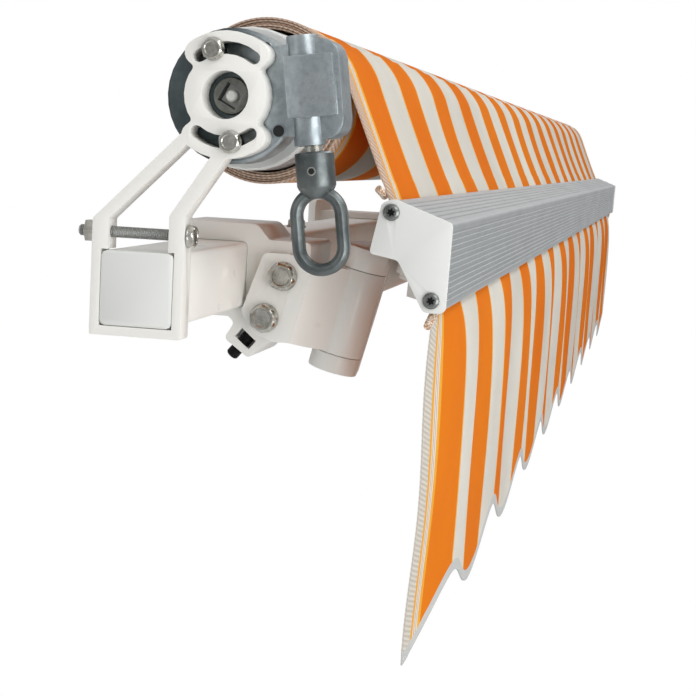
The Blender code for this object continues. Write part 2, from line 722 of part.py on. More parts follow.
def wall_bracket(end, side, start):
    """Plate against the wall with a hook that the torsion bar is rolled into."""
    half = WALL_PLATE_HEIGHT / 2
    width = WALL_PLATE_WIDTH / 2
    outline = box_outline(-width, width, -half, half, 0.006)
    holes = [circle(way * WALL_HOLE_OFFSET, 0, WALL_HOLE_RADIUS, 20) for way in (-1, 1)]
    plate = prism(outline, WALL_FACE - WALL_PLATE_THICKNESS, WALL_FACE, ALONG_Y, holes)
    place = (start + side * WALL_BRACKET_PLACE, 0, 0)
    made = add("wall_bracket_" + end, plate, white_paint, None, place, side)
    bore = HALF_BAR + GAP
    outer = bore + WALL_HOOK_WALL
    hook = [
        (WALL_FACE - WALL_PLATE_THICKNESS / 2, -outer, 0),
        (WALL_FACE - WALL_PLATE_THICKNESS / 2, outer, 0),
        (-outer, outer, 0.004),
        (-outer, bore - WALL_HOOK_TOP_LIP, 0.001),
        (-bore, bore - WALL_HOOK_TOP_LIP, 0.001),
        (-bore, bore, BAR_CORNER),
        (bore, bore, BAR_CORNER),
        (bore, -bore, BAR_CORNER),
        (-bore, -bore, BAR_CORNER),
        (-bore, WALL_HOOK_BOTTOM_LIP - bore, 0.001),
        (-outer, WALL_HOOK_BOTTOM_LIP - bore, 0.001),
        (-outer, -outer, 0.004),
    ]
    reach = WALL_HOOK_WIDTH / 2
    combine(made, prism(rounded(hook, 3), -reach, reach), "UNION", "hook", side)


def tilted(y, z):
    """World y and z as the across and up coordinates of the shoulder's tilted frame."""
    point = Matrix.Rotation(-ARM_PITCH, 2) @ (Vector((y, z)) - SHOULDER_AXIS.yz)
    return (point.x, point.y)


def arm_point(x, d, n):
    """World place of a point given in the near shoulder's tilted frame."""
    turn = Matrix.Rotation(ARM_PITCH, 3, "X")
    return SHOULDER_AXIS + turn @ Vector((x, d, n))


def shoulder_bracket(end, side, start):
    """Casting that wraps the bar and carries the knuckle's flange, with a lug for the pitch screw."""
    bore = HALF_BAR + GAP
    wall = bore + SADDLE_WALL
    top = bore + 0.011
    ledge = SHOULDER_LEDGE
    front = 0.060
    section = [
        (wall, -wall, 0.003),
        (wall, top, 0.003),
        (-0.026, top, 0.006),
        (-0.034, ledge, 0.004),
        (-front, ledge, 0.003),
        (-front, -0.022, 0.006),
        (-0.0530, -0.0405, 0.003),
        (-0.0385, -0.0385, 0.002),
        (-0.0240, -0.0515, 0.003),
        (-0.0080, -0.0400, 0.003),
        (-0.0140, -0.0300, 0.003),
        (-0.0100, -wall, 0.002),
    ]
    window = box_outline(-bore, bore, -bore, bore, BAR_CORNER)
    low = FLANGE_PLACE + FLANGE_THICKNESS + GAP
    bm = prism(rounded(section, 3), low, low + SADDLE_LENGTH, ALONG_X, [window])
    made = add("shoulder_bracket_" + end, bm, white_paint, None, (start, 0, 0), side)
    deep = low + 0.030
    for label, (d, n) in (("upper", UPPER_KNUCKLE_BOLT), ("lower", LOWER_KNUCKLE_BOLT)):
        spot = arm_point(0, d, n)
        drill = circle(spot.y, spot.z, KNUCKLE_BOLT_RADIUS + GAP, 14)
        combine(made, prism(drill, low - 0.01, deep), "DIFFERENCE", label + "_thread", side)
    nut = Matrix.Rotation(PITCH_SCREW_TILT, 2)
    pocket = [nut @ Vector(point) for point in box_outline(-0.0060, 0.0060, -0.0035, 0.0035)]
    pocket = [(point.x - PITCH_SCREW_REAR, point.y - PITCH_SCREW_DROP) for point in pocket]
    combine(made, prism(pocket, low - 0.01, low + 0.009), "DIFFERENCE", "nut_pocket", side)
    wide = PITCH_SCREW_RADIUS + GAP
    screw = turned([(-PITCH_SCREW_FOOT - 0.005, wide), (PITCH_SCREW_REACH + GAP, wide)], ALONG_Z, 14)
    bmesh.ops.transform(screw, matrix=pitch_screw_matrix(), verts=screw.verts[:])
    combine(made, screw, "DIFFERENCE", "pitch_bore", side)
    lock = circle(low + LOCK_SCREW_PLACE, -LOCK_SCREW_FRONT, LOCK_SCREW_RADIUS + GAP, 12)
    vertical = prism(lock, ledge - 0.014, ledge + 0.01, ALONG_Z)
    combine(made, vertical, "DIFFERENCE", "lock_bore", side)


def pitch_screw_matrix():
    """Frame of the pitch screw, whose axis leans through the lug and the nut pocket."""
    low = FLANGE_PLACE + FLANGE_THICKNESS + GAP
    turn = Matrix.Rotation(PITCH_SCREW_TILT, 4, "X")
    return Matrix.Translation((low + 0.0045, -PITCH_SCREW_REAR, -PITCH_SCREW_DROP)) @ turn


def pitch_screw(end, side, start):
    profile = [
        (-PITCH_SCREW_FOOT, PITCH_SCREW_RADIUS - 0.001),
        (0.001 - PITCH_SCREW_FOOT, PITCH_SCREW_RADIUS),
        (PITCH_SCREW_REACH - 0.001, PITCH_SCREW_RADIUS),
        (PITCH_SCREW_REACH, PITCH_SCREW_RADIUS - 0.001),
    ]
    bm = turned(profile, ALONG_Z, 14)
    bmesh.ops.transform(bm, matrix=pitch_screw_matrix(), verts=bm.verts[:])
    add("pitch_screw_" + end, bm, black_steel, None, (start, 0, 0), side)


def lock_screw(end, side, start):
    low = FLANGE_PLACE + FLANGE_THICKNESS + GAP
    place = (start + side * (low + LOCK_SCREW_PLACE), -LOCK_SCREW_FRONT, SHOULDER_LEDGE + 0.0075)
    name = "lock_screw_" + end
    hex_bolt(name, None, place, (0, 0, -1), LOCK_SCREW_RADIUS, 0.0205, 0.0055, 0.0048, bolt_steel)


def knuckle(end, side, frame):
    """Barrel of the arm's hinge with the flange that is bolted to the shoulder bracket."""
    back = FLANGE_PLACE - SHOULDER_PLACE
    seat = back + FLANGE_THICKNESS
    barrel = turned([(-BARREL_HALF, BARREL_RADIUS), (BARREL_HALF, BARREL_RADIUS)], ALONG_Z, 32)
    made = add("shoulder_knuckle_" + end, barrel, white_paint, frame, (0, 0, 0), side)
    web = [
        (back, 0.032),
        (back, 0.026),
        (back + 0.006, 0.016),
        (-BARREL_RADIUS + 0.0015, 0.003),
        (0.004, 0.0),
        (0.010, 0.0095),
        (seat + 0.005, 0.0155),
        (seat, 0.018),
        (seat, 0.032),
    ]
    high = BARREL_HALF - 0.001
    combine(made, prism(web, -high, high, ALONG_Z), "UNION", "web", side)
    plate = [
        (0.024, high - 0.0005, 0),
        (0.040, 0.0262, 0.003),
        (0.0548, 0.0225, 0.004),
        (0.0585, -0.0160, 0.004),
        (0.0480, -0.0268, 0.004),
        (0.0340, -0.0282, 0.003),
        (0.024, -high + 0.0005, 0),
    ]
    combine(made, prism(rounded(plate, 3), back, seat), "UNION", "flange", side)
    for label, (d, n) in (("upper", UPPER_KNUCKLE_BOLT), ("lower", LOWER_KNUCKLE_BOLT)):
        drill = circle(d, n, KNUCKLE_BOLT_RADIUS + GAP, 14)
        combine(made, prism(drill, back - 0.01, seat + 0.01), "DIFFERENCE", label + "_hole", side)
    bore = turned([(-0.05, SHOULDER_PIN_RADIUS + GAP), (0.05, SHOULDER_PIN_RADIUS + GAP)], ALONG_Z, 20)
    combine(made, bore, "DIFFERENCE", "pin_bore", side)


def knuckle_bolts(end, side, frame):
    for label, (d, n) in (("upper", UPPER_KNUCKLE_BOLT), ("lower", LOWER_KNUCKLE_BOLT)):
        place = (side * (FLANGE_PLACE - SHOULDER_PLACE - GAP), d, n)
        name = "knuckle_bolt_" + label + "_" + end
        hex_bolt(name, frame, place, (side, 0, 0), KNUCKLE_BOLT_RADIUS, 0.034, 0.0080, 0.0070, bolt_steel)


def arm_tube_outline(thickness, low, high, middle=0.0):
    half = thickness / 2
    return box_outline(middle - half, middle + half, low, high, TUBE_CORNER)


def tube_with_bore(thickness, low, high, start, end, middle):
    outer = arm_tube_outline(thickness, low, high, middle)
    half = thickness / 2 - TUBE_WALL
    corner = TUBE_CORNER - TUBE_WALL
    bore = box_outline(middle - half, middle + half, low + TUBE_WALL, high - TUBE_WALL, corner)
    return prism(outer, start, end, ALONG_X, [bore])


def spigot_outline(thickness, low, high, middle):
    half = thickness / 2 - TUBE_WALL - GAP
    inset = TUBE_WALL + GAP
    return box_outline(middle - half, middle + half, low + inset, high - inset, TUBE_CORNER - TUBE_WALL)


def upper_arm(end, side, frame):
    """Fork round the knuckle, tube, elbow fork and the hinge pins."""
    radius = BARREL_RADIUS
    fork_plan = hull_outline(0, 0, radius, FORK_NECK - 0.011, 0, 0.0112, 12)
    body = prism(fork_plan, FORK_BOTTOM, FORK_TOP, ALONG_Z)
    made = add("upper_arm_fork_" + end, body, white_paint, frame, (0, 0, 0), side)
    gap_plan = [(-0.03, -0.03), (radius + 0.0012, -0.03), (radius + 0.0012, 0.03), (-0.03, 0.03)]
    slot = BARREL_HALF + GAP + 0.0002
    combine(made, prism(gap_plan, -slot, slot, ALONG_Z), "DIFFERENCE", "jaw", side)
    under = [
        (0.026, FORK_BOTTOM - 0.01),
        (0.026, FORK_BOTTOM),
        (FORK_NECK - 0.004, ARM_LOW),
        (0.08, ARM_LOW),
        (0.08, FORK_BOTTOM - 0.01),
    ]
    combine(made, prism(under, -0.03, 0.03, ALONG_Y), "DIFFERENCE", "taper", side)
    spigot = spigot_outline(UPPER_ARM_THICKNESS, ARM_LOW, ARM_HIGH, 0)
    combine(made, prism(spigot, FORK_NECK - 0.012, FORK_NECK + SPIGOT), "UNION", "spigot", side)
    wide = SHOULDER_PIN_RADIUS + GAP
    bore = turned([(-0.05, wide), (FORK_TOP - 0.002, wide)], ALONG_Z, 20)
    combine(made, bore, "DIFFERENCE", "pin_bore", side)
    pin = [(FORK_BOTTOM + 0.001, SHOULDER_PIN_RADIUS), (FORK_TOP - 0.002 - GAP, SHOULDER_PIN_RADIUS)]
    add("shoulder_pin_" + end, turned(pin, ALONG_Z, 20), bolt_steel, frame, (0, 0, 0), side)

    neck = FORK_NECK + GAP
    tube_end = ARM_REACH - ELBOW_NECK
    tube = tube_with_bore(UPPER_ARM_THICKNESS, ARM_LOW, ARM_HIGH, neck, tube_end, 0)
    add("upper_arm_tube_" + end, tube, white_paint, frame, (0, 0, 0), side)

    elbow = -ARM_FOLD / 2
    half = UPPER_ARM_THICKNESS / 2
    start = tube_end + GAP
    plan = [(start, -half), (start, half)] + elbow_arc(elbow, -half, half, start)
    lug = prism(plan, ARM_LOW, ARM_HIGH, ALONG_Z)
    made = add("elbow_fork_" + end, lug, white_paint, frame, (0, 0, 0), side)
    web_end = start + 0.016
    jaw = [
        (web_end, 0.05),
        (web_end, -0.004),
        (start - 0.01, -0.004),
        (start - 0.01, -0.05),
        (start + 0.08, -0.05),
        (start + 0.08, 0.05),
    ]
    combine(made, prism(jaw, ARM_LOW + ELBOW_LUG, ARM_HIGH - ELBOW_LUG, ALONG_Z), "DIFFERENCE", "jaw", side)
    spigot = spigot_outline(UPPER_ARM_THICKNESS, ARM_LOW, ARM_HIGH, 0)
    combine(made, prism(spigot, tube_end - SPIGOT, start + 0.004), "UNION", "spigot", side)
    drill = circle(ARM_REACH, elbow, ELBOW_PIN_RADIUS + GAP, 16)
    combine(made, prism(drill, ARM_LOW - 0.01, ARM_HIGH - 0.002, ALONG_Z), "DIFFERENCE", "pin_bore", side)
    ends = (ARM_LOW + 0.0005, ARM_HIGH - 0.002 - GAP)
    pin = turned([(depth, ELBOW_PIN_RADIUS) for depth in ends], ALONG_Z, 16)
    bmesh.ops.translate(pin, vec=(ARM_REACH, elbow, 0), verts=pin.verts[:])
    add("elbow_pin_" + end, pin, bolt_steel, frame, (0, 0, 0), side)


def elbow_arc(elbow, low, high, start):
    """Round end about the elbow, from the tangent over the edge high to the one over the edge low."""
    points = []
    angles = []
    for edge, way in ((high, 1), (low, -1)):
        away = math.atan2(edge - elbow, start - ARM_REACH)
        spread = math.acos(ELBOW_RADIUS / math.hypot(edge - elbow, start - ARM_REACH))
        angles.append(away - way * spread)
    first, last = angles
    if last > first:
        last -= 2 * math.pi
    steps = 9
    for k in range(steps + 1):
        angle = first + (last - first) * k / steps
        points.append((ARM_REACH + ELBOW_RADIUS * math.cos(angle), elbow + ELBOW_RADIUS * math.sin(angle)))
    return points


def forearm(end, side, frame, pivot_clearance):
    """Tongue in the elbow fork, tube, and the eye under the front bar."""
    middle = -ARM_FOLD
    low = ARM_LOW + FOREARM_INSET
    high = ARM_HIGH - FOREARM_INSET
    half = FOREARM_THICKNESS / 2
    elbow = -ARM_FOLD / 2
    tube_end = ARM_REACH - ELBOW_NECK
    start = tube_end + GAP
    tongue = (ARM_LOW + ELBOW_LUG + GAP + 0.0002, ARM_HIGH - ELBOW_LUG - GAP - 0.0002)
    plan = [(start, middle - half), (start, middle + half)]
    plan += elbow_arc(elbow, middle - half, middle + half, start)
    made = add("elbow_tongue_" + end, prism(plan, *tongue, ALONG_Z), white_paint, frame, (0, 0, 0), side)
    block = arm_tube_outline(FOREARM_THICKNESS, low, high, middle)
    combine(made, prism(block, start, start + 0.006), "UNION", "shoulder", side)
    spigot = spigot_outline(FOREARM_THICKNESS, low, high, middle)
    combine(made, prism(spigot, tube_end - SPIGOT, start + 0.004), "UNION", "spigot", side)
    drill = circle(ARM_REACH, elbow, ELBOW_PIN_RADIUS + GAP, 16)
    combine(made, prism(drill, ARM_LOW - 0.01, ARM_HIGH + 0.01, ALONG_Z), "DIFFERENCE", "pin_bore", side)

    neck = WRIST_NECK + 0.007 + GAP
    tube = tube_with_bore(FOREARM_THICKNESS, low, high, neck, tube_end, middle)
    add("forearm_tube_" + end, tube, white_paint, frame, (0, 0, 0), side)

    wrist_top = WRIST_LOW + WRIST_THICKNESS
    plan = hull_outline(0, middle, WRIST_RADIUS, WRIST_NECK - 0.002, middle, half - 0.0006, 10)
    eye = prism(plan, WRIST_LOW, wrist_top, ALONG_Z)
    made = add("forearm_eye_" + end, eye, white_paint, frame, (0, 0, 0), side)
    side_view = [
        (WRIST_NECK + 0.007, low),
        (WRIST_NECK + 0.007, high),
        (WRIST_NECK - 0.004, wrist_top - 0.0005),
        (WRIST_NECK - 0.030, wrist_top - 0.0005),
        (WRIST_NECK - 0.030, WRIST_LOW + 0.0005),
        (WRIST_NECK - 0.004, low),
    ]
    root = prism(side_view, middle - half + 0.0012, middle + half - 0.0012, ALONG_Y)
    combine(made, root, "UNION", "root", side)
    combine(made, prism(spigot, WRIST_NECK, WRIST_NECK + 0.007 + SPIGOT), "UNION", "spigot", side)
    drill = circle(0, middle, WRIST_PIN_RADIUS + pivot_clearance, 20)
    combine(made, prism(drill, WRIST_LOW - 0.01, wrist_top + 0.01, ALONG_Z), "DIFFERENCE", "pin_bore", side)


def hanger(end, side, frame):
    """Bracket along the front bar's rear lip, with the stud that the forearm's eye turns on."""
    rear, corner, foot = (Vector(tilted(*FRONT_SECTION[k][:2])) for k in (2, 3, 4))
    lip = (rear - corner).normalized()
    slope = (foot - corner).normalized()
    lip_out = Vector((lip.y, -lip.x))
    slope_out = Vector((-slope.y, slope.x))
    middle = (lip_out + slope_out).normalized()
    spread = 1 / middle.dot(lip_out)
    end_down = corner + slope * ((foot - corner).length * HANGER_TURN_DOWN)
    thick = GAP + HANGER_THICKNESS
    section = [
        (*(rear - lip * 0.001 + lip_out * GAP), 0),
        (*(corner + middle * spread * GAP), 0.0045),
        (*(end_down + slope_out * GAP), 0),
        (*(end_down + slope_out * thick), 0.0015),
        (*(corner + middle * spread * thick), 0.001),
        (*(rear - lip * 0.001 + lip_out * thick), 0.0015),
    ]
    bm = prism(rounded(section, 3), -HANGER_HALF, HANGER_HALF)
    made = add("arm_hanger_" + end, bm, white_paint, frame, (0, 0, 0), side)
    top = WRIST_LOW + WRIST_THICKNESS + GAP
    bottom = WRIST_LOW - GAP
    stud = [
        (bottom - STUD_HEAD, STUD_COLLAR - 0.0012),
        (bottom - STUD_HEAD + 0.0008, STUD_COLLAR),
        (bottom, STUD_COLLAR),
        (bottom, WRIST_PIN_RADIUS),
        (top, WRIST_PIN_RADIUS),
        (top, STUD_COLLAR),
        (top + HANGER_THICKNESS, STUD_COLLAR),
    ]
    stud = turned(stud, ALONG_Z, 18)
    bmesh.ops.translate(stud, vec=(0, -ARM_FOLD, 0), verts=stud.verts[:])
    combine(made, stud, "UNION", "stud", side)


def front_outline():
    """Outline of the front bar with fine grooves along its front face and its top."""
    outline = []
    corners = rounded(FRONT_SECTION, 4)
    for i, corner in enumerate(corners):
        here = Vector(corner)
        run = Vector(corners[(i + 1) % len(corners)]) - here
        outline.append(corner)
        outward = Vector((-run.y, run.x)).normalized()
        if run.length < 0.015 or (outward.x > -0.9 and outward.y < 0.7):
            continue
        grooves = FACE_GROOVES if outward.x < -0.9 else TOP_GROOVES
        pitch = run / (grooves + 1)
        for k in range(1, grooves + 1):
            spot = here + pitch * k
            outline.append(tuple(spot - pitch * 0.22))
            outline.append(tuple(spot - pitch * 0.10 - outward * GROOVE_DEPTH))
            outline.append(tuple(spot + pitch * 0.10 - outward * GROOVE_DEPTH))
            outline.append(tuple(spot + pitch * 0.22))
    return outline


def inner_section(wall):
    """The front bar's section drawn in by its wall."""
    count = len(FRONT_SECTION)
    points = []
    for i, (u, v, radius) in enumerate(FRONT_SECTION):
        here = Vector((u, v))
        before = (here - Vector(FRONT_SECTION[i - 1][:2])).normalized()
        after = (Vector(FRONT_SECTION[(i + 1) % count][:2]) - here).normalized()
        side_in = Vector((before.y, -before.x)) + Vector((after.y, -after.x))
        side_in = side_in.normalized() / math.cos(before.angle(after) / 2)
        points.append((here.x + side_in.x * wall, here.y + side_in.y * wall, max(radius - wall, 0.0005)))
    return points


def front_bar():
    chamber = rounded(inner_section(FRONT_WALL + GROOVE_DEPTH), 2)
    bm = prism(front_outline(), FRONT_START, AWNING_LENGTH - FRONT_START, ALONG_X, [chamber])
    add("front_bar", bm, aluminium)


def front_cap(end, side, start):
    """Moulded cap over the front bar's end, with holes for its two screws."""
    edge = rounded([(u, v, max(radius, 0.002)) for u, v, radius in inner_section(-FRONT_CAP_OVERLAP)], 4)
    inner = FRONT_START - GAP
    cap = prism(edge, inner - FRONT_CAP, inner)
    made = add("front_cap_" + end, cap, white_plastic, None, (start, 0, 0), side)
    for label, (u, v) in (("upper", UPPER_SCREW), ("lower", LOWER_SCREW)):
        drill = circle(u, v, CAP_SCREW_RADIUS + GAP, 12)
        combine(made, prism(drill, 0, FRONT_START + 0.01), "DIFFERENCE", label + "_hole", side)


def canopy_path():
    """Middle of the cloth, which lies on the roll, leaves it at a tangent and ends at the front bar."""
    reach = roll_radius(TURNS) + TURN_THICKNESS + GAP + CLOTH / 2
    top, rear = (Vector(FRONT_SECTION[k][:2]) for k in (0, 1))
    edge = (rear - top).normalized()
    seat = (top + rear) / 2 + Vector((-edge.y, edge.x)) * GAP
    away = seat - ROLLER_AXIS.yz
    tangent = math.atan2(away.y, away.x) % (2 * math.pi) - math.acos(reach / away.length)
    steps = 5
    points = []
    for k in range(steps + 1):
        angle = TURN_END + (tangent - TURN_END) * k / steps
        points.append(ROLLER_AXIS.yz + reach * Vector((math.cos(angle), math.sin(angle))))
    run = seat - points[-1]
    sag = Vector((-run.y, run.x)).normalized() * CLOTH_SAG
    leave = points[-1]
    for k in range(1, steps + 1):
        share = k / steps
        points.append(leave + run * share + sag * math.sin(math.pi * share))
    return points


def ribbon(path, thickness):
    """Outline of a strip of even thickness along a path."""
    left = []
    right = []
    for i, point in enumerate(path):
        before = path[max(i - 1, 0)]
        after = path[min(i + 1, len(path) - 1)]
        run = (after - before).normalized()
        across = Vector((-run.y, run.x)) * thickness / 2
        left.append(tuple(point + across))
        right.append(tuple(point - across))
    return left + right[::-1]


def canopy_flap():
    outline = ribbon(canopy_path(), CLOTH)
    bm = prism(outline, FABRIC_START, AWNING_LENGTH - FABRIC_START)
    add("canopy_flap", bm, canopy_cloth)


def valance_point(x, drop, face):
    """Point of the valance at x, drop from 0 at its top to 1 at its scalloped edge, on face -1 or +1."""
    phase = 2 * math.pi * SCALLOPS * (x - FABRIC_START) / (AWNING_LENGTH - 2 * FABRIC_START)
    depth = VALANCE_DROP + SCALLOP_DEPTH * math.cos(phase)
    top = FRONT_SECTION[4][1] - GAP
    wave = WAVE_DEPTH * drop * math.sin(phase + WAVE_SHIFT)
    y = VALANCE_LEAN * drop + wave - VALANCE_PLACE
    return (x, y + face * CLOTH / 2, top - depth * drop)


def valance():
    bm = bmesh.new()
    width = AWNING_LENGTH - 2 * FABRIC_START
    sheets = []
    for face in (-1, 1):
        rows = []
        for i in range(VALANCE_COLUMNS + 1):
            x = FABRIC_START + width * i / VALANCE_COLUMNS
            column = [valance_point(x, j / VALANCE_ROWS, face) for j in range(VALANCE_ROWS + 1)]
            rows.append([bm.verts.new(point) for point in column])
        sheets.append(rows)
        for a, b in zip(rows, rows[1:]):
            for j in range(VALANCE_ROWS):
                bm.faces.new((a[j], a[j + 1], b[j + 1], b[j]))
    front, back = sheets
    for i in range(VALANCE_COLUMNS):
        for j in (0, VALANCE_ROWS):
            bm.faces.new((front[i][j], front[i + 1][j], back[i + 1][j], back[i][j]))
    for i in (0, VALANCE_COLUMNS):
        for j in range(VALANCE_ROWS):
            bm.faces.new((front[i][j], front[i][j + 1], back[i][j + 1], back[i][j]))
    bmesh.ops.recalc_face_normals(bm, faces=bm.faces[:])
    add("valance", bm, canopy_cloth)


ENDS = (("near", 1, 0.0), ("far", -1, AWNING_LENGTH))


def build():
    torsion_bar()
    gearbox_housing()
    crank = pivot("crank_axis", worm_frame(), -WORM_TILT)
    worm_shaft(crank)
    crank_eye(crank)
    eye_pin(crank)
    roller()
    drive_hub()
    idler_housing()
    canopy_roll()
    for end, side, start in ENDS:
        bar_end_cap(end, side, start)
        end_bracket(end, side, start)
        clamp_bolt(end, side, start)
        ring_bolts(end, side, start)
        wall_bracket(end, side, start)
        shoulder_bracket(end, side, start)
        pitch_screw(end, side, start)
        lock_screw(end, side, start)
        shoulder = (start + side * SHOULDER_PLACE, *SHOULDER_AXIS.yz)
        frame = pivot("shoulder_axis_" + end, shoulder, ARM_PITCH)
        knuckle(end, side, frame)
        knuckle_bolts(end, side, frame)
        upper_arm(end, side, frame)
        forearm(end, side, frame, GAP if end == "near" else OPEN_PIVOT_CLEARANCE)
        hanger(end, side, frame)
        front_cap(end, side, start)
    front_bar()
    canopy_flap()
    valance()
    sharpen_cuts()


build()
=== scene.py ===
import math

import bmesh
import bpy
import numpy as np
from mathutils import Matrix, Vector


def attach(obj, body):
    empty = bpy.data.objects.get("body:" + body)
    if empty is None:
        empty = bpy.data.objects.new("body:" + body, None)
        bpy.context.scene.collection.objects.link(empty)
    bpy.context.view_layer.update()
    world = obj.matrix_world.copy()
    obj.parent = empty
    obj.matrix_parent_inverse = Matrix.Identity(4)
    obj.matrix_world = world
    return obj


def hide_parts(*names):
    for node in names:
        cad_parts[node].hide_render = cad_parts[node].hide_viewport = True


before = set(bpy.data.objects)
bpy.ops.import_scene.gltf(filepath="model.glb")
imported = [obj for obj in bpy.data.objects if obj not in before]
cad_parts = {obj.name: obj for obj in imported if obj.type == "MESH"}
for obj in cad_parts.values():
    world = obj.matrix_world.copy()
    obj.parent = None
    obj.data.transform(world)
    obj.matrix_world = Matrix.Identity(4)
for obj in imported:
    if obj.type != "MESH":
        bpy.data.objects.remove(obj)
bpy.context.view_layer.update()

# Places and sizes of the solids, in metres
LENGTH = 2.400
GAP = 0.0003
ROLLER = Vector((0.0, -0.044, 0.104))
SHOULDER = Vector((0.180, -0.0808, -0.0202))
ARM_PITCH = math.radians(13.8)
WORM_TILT = math.radians(7.5)
WORM = ROLLER + Vector((0.024, -0.0395 * math.cos(WORM_TILT), 0.0395 * math.sin(WORM_TILT)))
CLOTH_START = 0.088
TURN_PITCH = 0.00135
CLOTH = 0.0009
TURNS = 5
TURN_END = math.radians(128)
ROLL_START = 0.0393 / math.cos(math.pi / 28)
BAR_TOP = Vector((-0.1212, 0.0528))
BAR_REAR = Vector((-0.1155, 0.0500))
VALANCE_TOP = -0.0088
VALANCE_DROP = 0.191
SCALLOPS = 10
SCALLOP_DEPTH = 0.015
BULGE = 0.0095
BINDING = 0.0075
CAP_FACE = 0.0820
ENDS = (("near", 1, 0.0), ("far", -1, LENGTH))

# Bolts and screws
RING_BOLT_CIRCLE = 0.0243
RING_BOLT_ANGLES = (("upper", math.radians(73)), ("lower", math.radians(-100)))
KNUCKLE_FACE = 0.145
KNUCKLE_BOLTS = (("upper", (0.0393, 0.0123)), ("lower", (0.0432, -0.0154)))
CLAMP_BOLT = (0.007, -0.0256, 0.0295)
CLAMP_LENGTH = 0.0602
CAP_SCREWS = (("upper", (-0.1206, 0.0458)), ("lower", (-0.1458, -0.0022)))
PITCH_SCREW_LEAN = math.radians(40)

# Crank eye, in the worm shaft's own frame
EYE_BAND = 0.0034
EYE_HALF_WIDTH = 0.0155
EYE_TOP = -0.0500
EYE_BOTTOM = -0.0980
PIN_PLACE = (-0.0104, 0, -0.0425)

# Blind holes in the gearbox's face, drawn as discs of painted shade: place and radius
GEARBOX_FACE = 0.0143
GEARBOX_HOLES = ((-0.0700, 0.0870, 0.0031), (-0.0610, 0.1300, 0.0027))

# Camera, in pixels of the photo, and its place in metres
PHOTO_PIXELS = 696
FOCAL_PIXELS = 1700.0
VANISH = (686.22, 169.13)
CAMERA_ROLL = math.radians(3.02)
CAMERA_PLACE = (-0.85776, -0.28025, 0.07841)


def linear(red, green, blue):
    """Linear colour from its 0 to 255 screen values."""
    values = []
    for value in (red, green, blue):
        share = value / 255
        values.append(share / 12.92 if share <= 0.04045 else ((share + 0.055) / 1.055) ** 2.4)
    return (*values, 1.0)


class Finish:
    """Material built from procedural nodes."""

    def __init__(self, name, color, roughness, metallic=0.0):
        self.mat = bpy.data.materials.new(name)
        self.mat.use_nodes = True
        self.nodes = self.mat.node_tree.nodes
        self.links = self.mat.node_tree.links
        self.shader = self.nodes["Principled BSDF"]
        self.shader.inputs["Base Color"].default_value = color
        self.shader.inputs["Roughness"].default_value = roughness
        self.shader.inputs["Metallic"].default_value = metallic
        self.place = self.nodes.new("ShaderNodeTexCoord").outputs["Object"]

    def put(self, socket, value):
        if isinstance(value, bpy.types.NodeSocket):
            self.links.new(value, socket)
        else:
            socket.default_value = value

    def shade(self, name, value):
        self.put(self.shader.inputs[name], value)

    def math(self, operation, a, b=0.0, c=0.0):
        made = self.nodes.new("ShaderNodeMath")
        made.operation = operation
        for socket, value in zip(made.inputs, (a, b, c)):
            self.put(socket, value)
        return made.outputs[0]

    def axis(self, index, source=None):
        made = self.nodes.new("ShaderNodeSeparateXYZ")
        self.put(made.inputs[0], source or self.place)
        return made.outputs[index]

    def noise(self, scale, detail=3.0, stretch=(1, 1, 1), roughness=0.55):
        mapped = self.nodes.new("ShaderNodeMapping")
        self.put(mapped.inputs["Vector"], self.place)
        self.put(mapped.inputs["Scale"], stretch)
        made = self.nodes.new("ShaderNodeTexNoise")
        self.put(made.inputs["Vector"], mapped.outputs[0])
        self.put(made.inputs["Scale"], scale)
        self.put(made.inputs["Detail"], detail)
        self.put(made.inputs["Roughness"], roughness)
        return made.outputs["Fac"]

    def span(self, value, low, high, start=0.0, end=1.0):
        made = self.nodes.new("ShaderNodeMapRange")
        for name, number in (("From Min", start), ("From Max", end), ("To Min", low), ("To Max", high)):
            self.put(made.inputs[name], number)
        self.put(made.inputs["Value"], value)
        return made.outputs[0]

    def mix(self, share, a, b, kind="MIX"):
        made = self.nodes.new("ShaderNodeMix")
        made.data_type = "RGBA"
        made.blend_type = kind
        self.put(made.inputs[0], share)
        self.put(made.inputs[6], a)
        self.put(made.inputs[7], b)
        return made.outputs[2]

    def bands(self, value, stops):
        """Colour that changes at once at each stop."""
        made = self.nodes.new("ShaderNodeValToRGB")
        made.color_ramp.interpolation = "CONSTANT"
        elements = made.color_ramp.elements
        while len(elements) < len(stops):
            elements.new(0.5)
        for element, (position, color) in zip(elements, stops):
            element.position = position
            element.color = color
        self.put(made.inputs[0], value)
        return made.outputs[0]

    def bump(self, height, distance, strength):
        made = self.nodes.new("ShaderNodeBump")
        self.put(made.inputs["Height"], height)
        made.inputs["Distance"].default_value = distance
        made.inputs["Strength"].default_value = strength
        self.links.new(made.outputs[0], self.shader.inputs["Normal"])

    def edges(self, radius):
        """Share that is 1 on an outer edge and 0 on a flat face."""
        soft = self.nodes.new("ShaderNodeBevel")
        soft.samples = 6
        soft.inputs["Radius"].default_value = radius
        real = self.nodes.new("ShaderNodeNewGeometry")
        dot = self.nodes.new("ShaderNodeVectorMath")
        dot.operation = "DOT_PRODUCT"
        self.links.new(soft.outputs[0], dot.inputs[0])
        self.links.new(real.outputs["Normal"], dot.inputs[1])
        return self.span(dot.outputs["Value"], 1.0, 0.0, 0.80, 0.985)

    def corners(self, reach):
        """Share from ambient occlusion that is 1 deep in a corner between two faces and 0 on an open face; it
        paints shade into corners.
        """
        hidden = self.nodes.new("ShaderNodeAmbientOcclusion")
        hidden.samples = 6
        hidden.inputs["Distance"].default_value = reach
        return self.span(hidden.outputs["AO"], 1.0, 0.0, 0.30, 0.62)


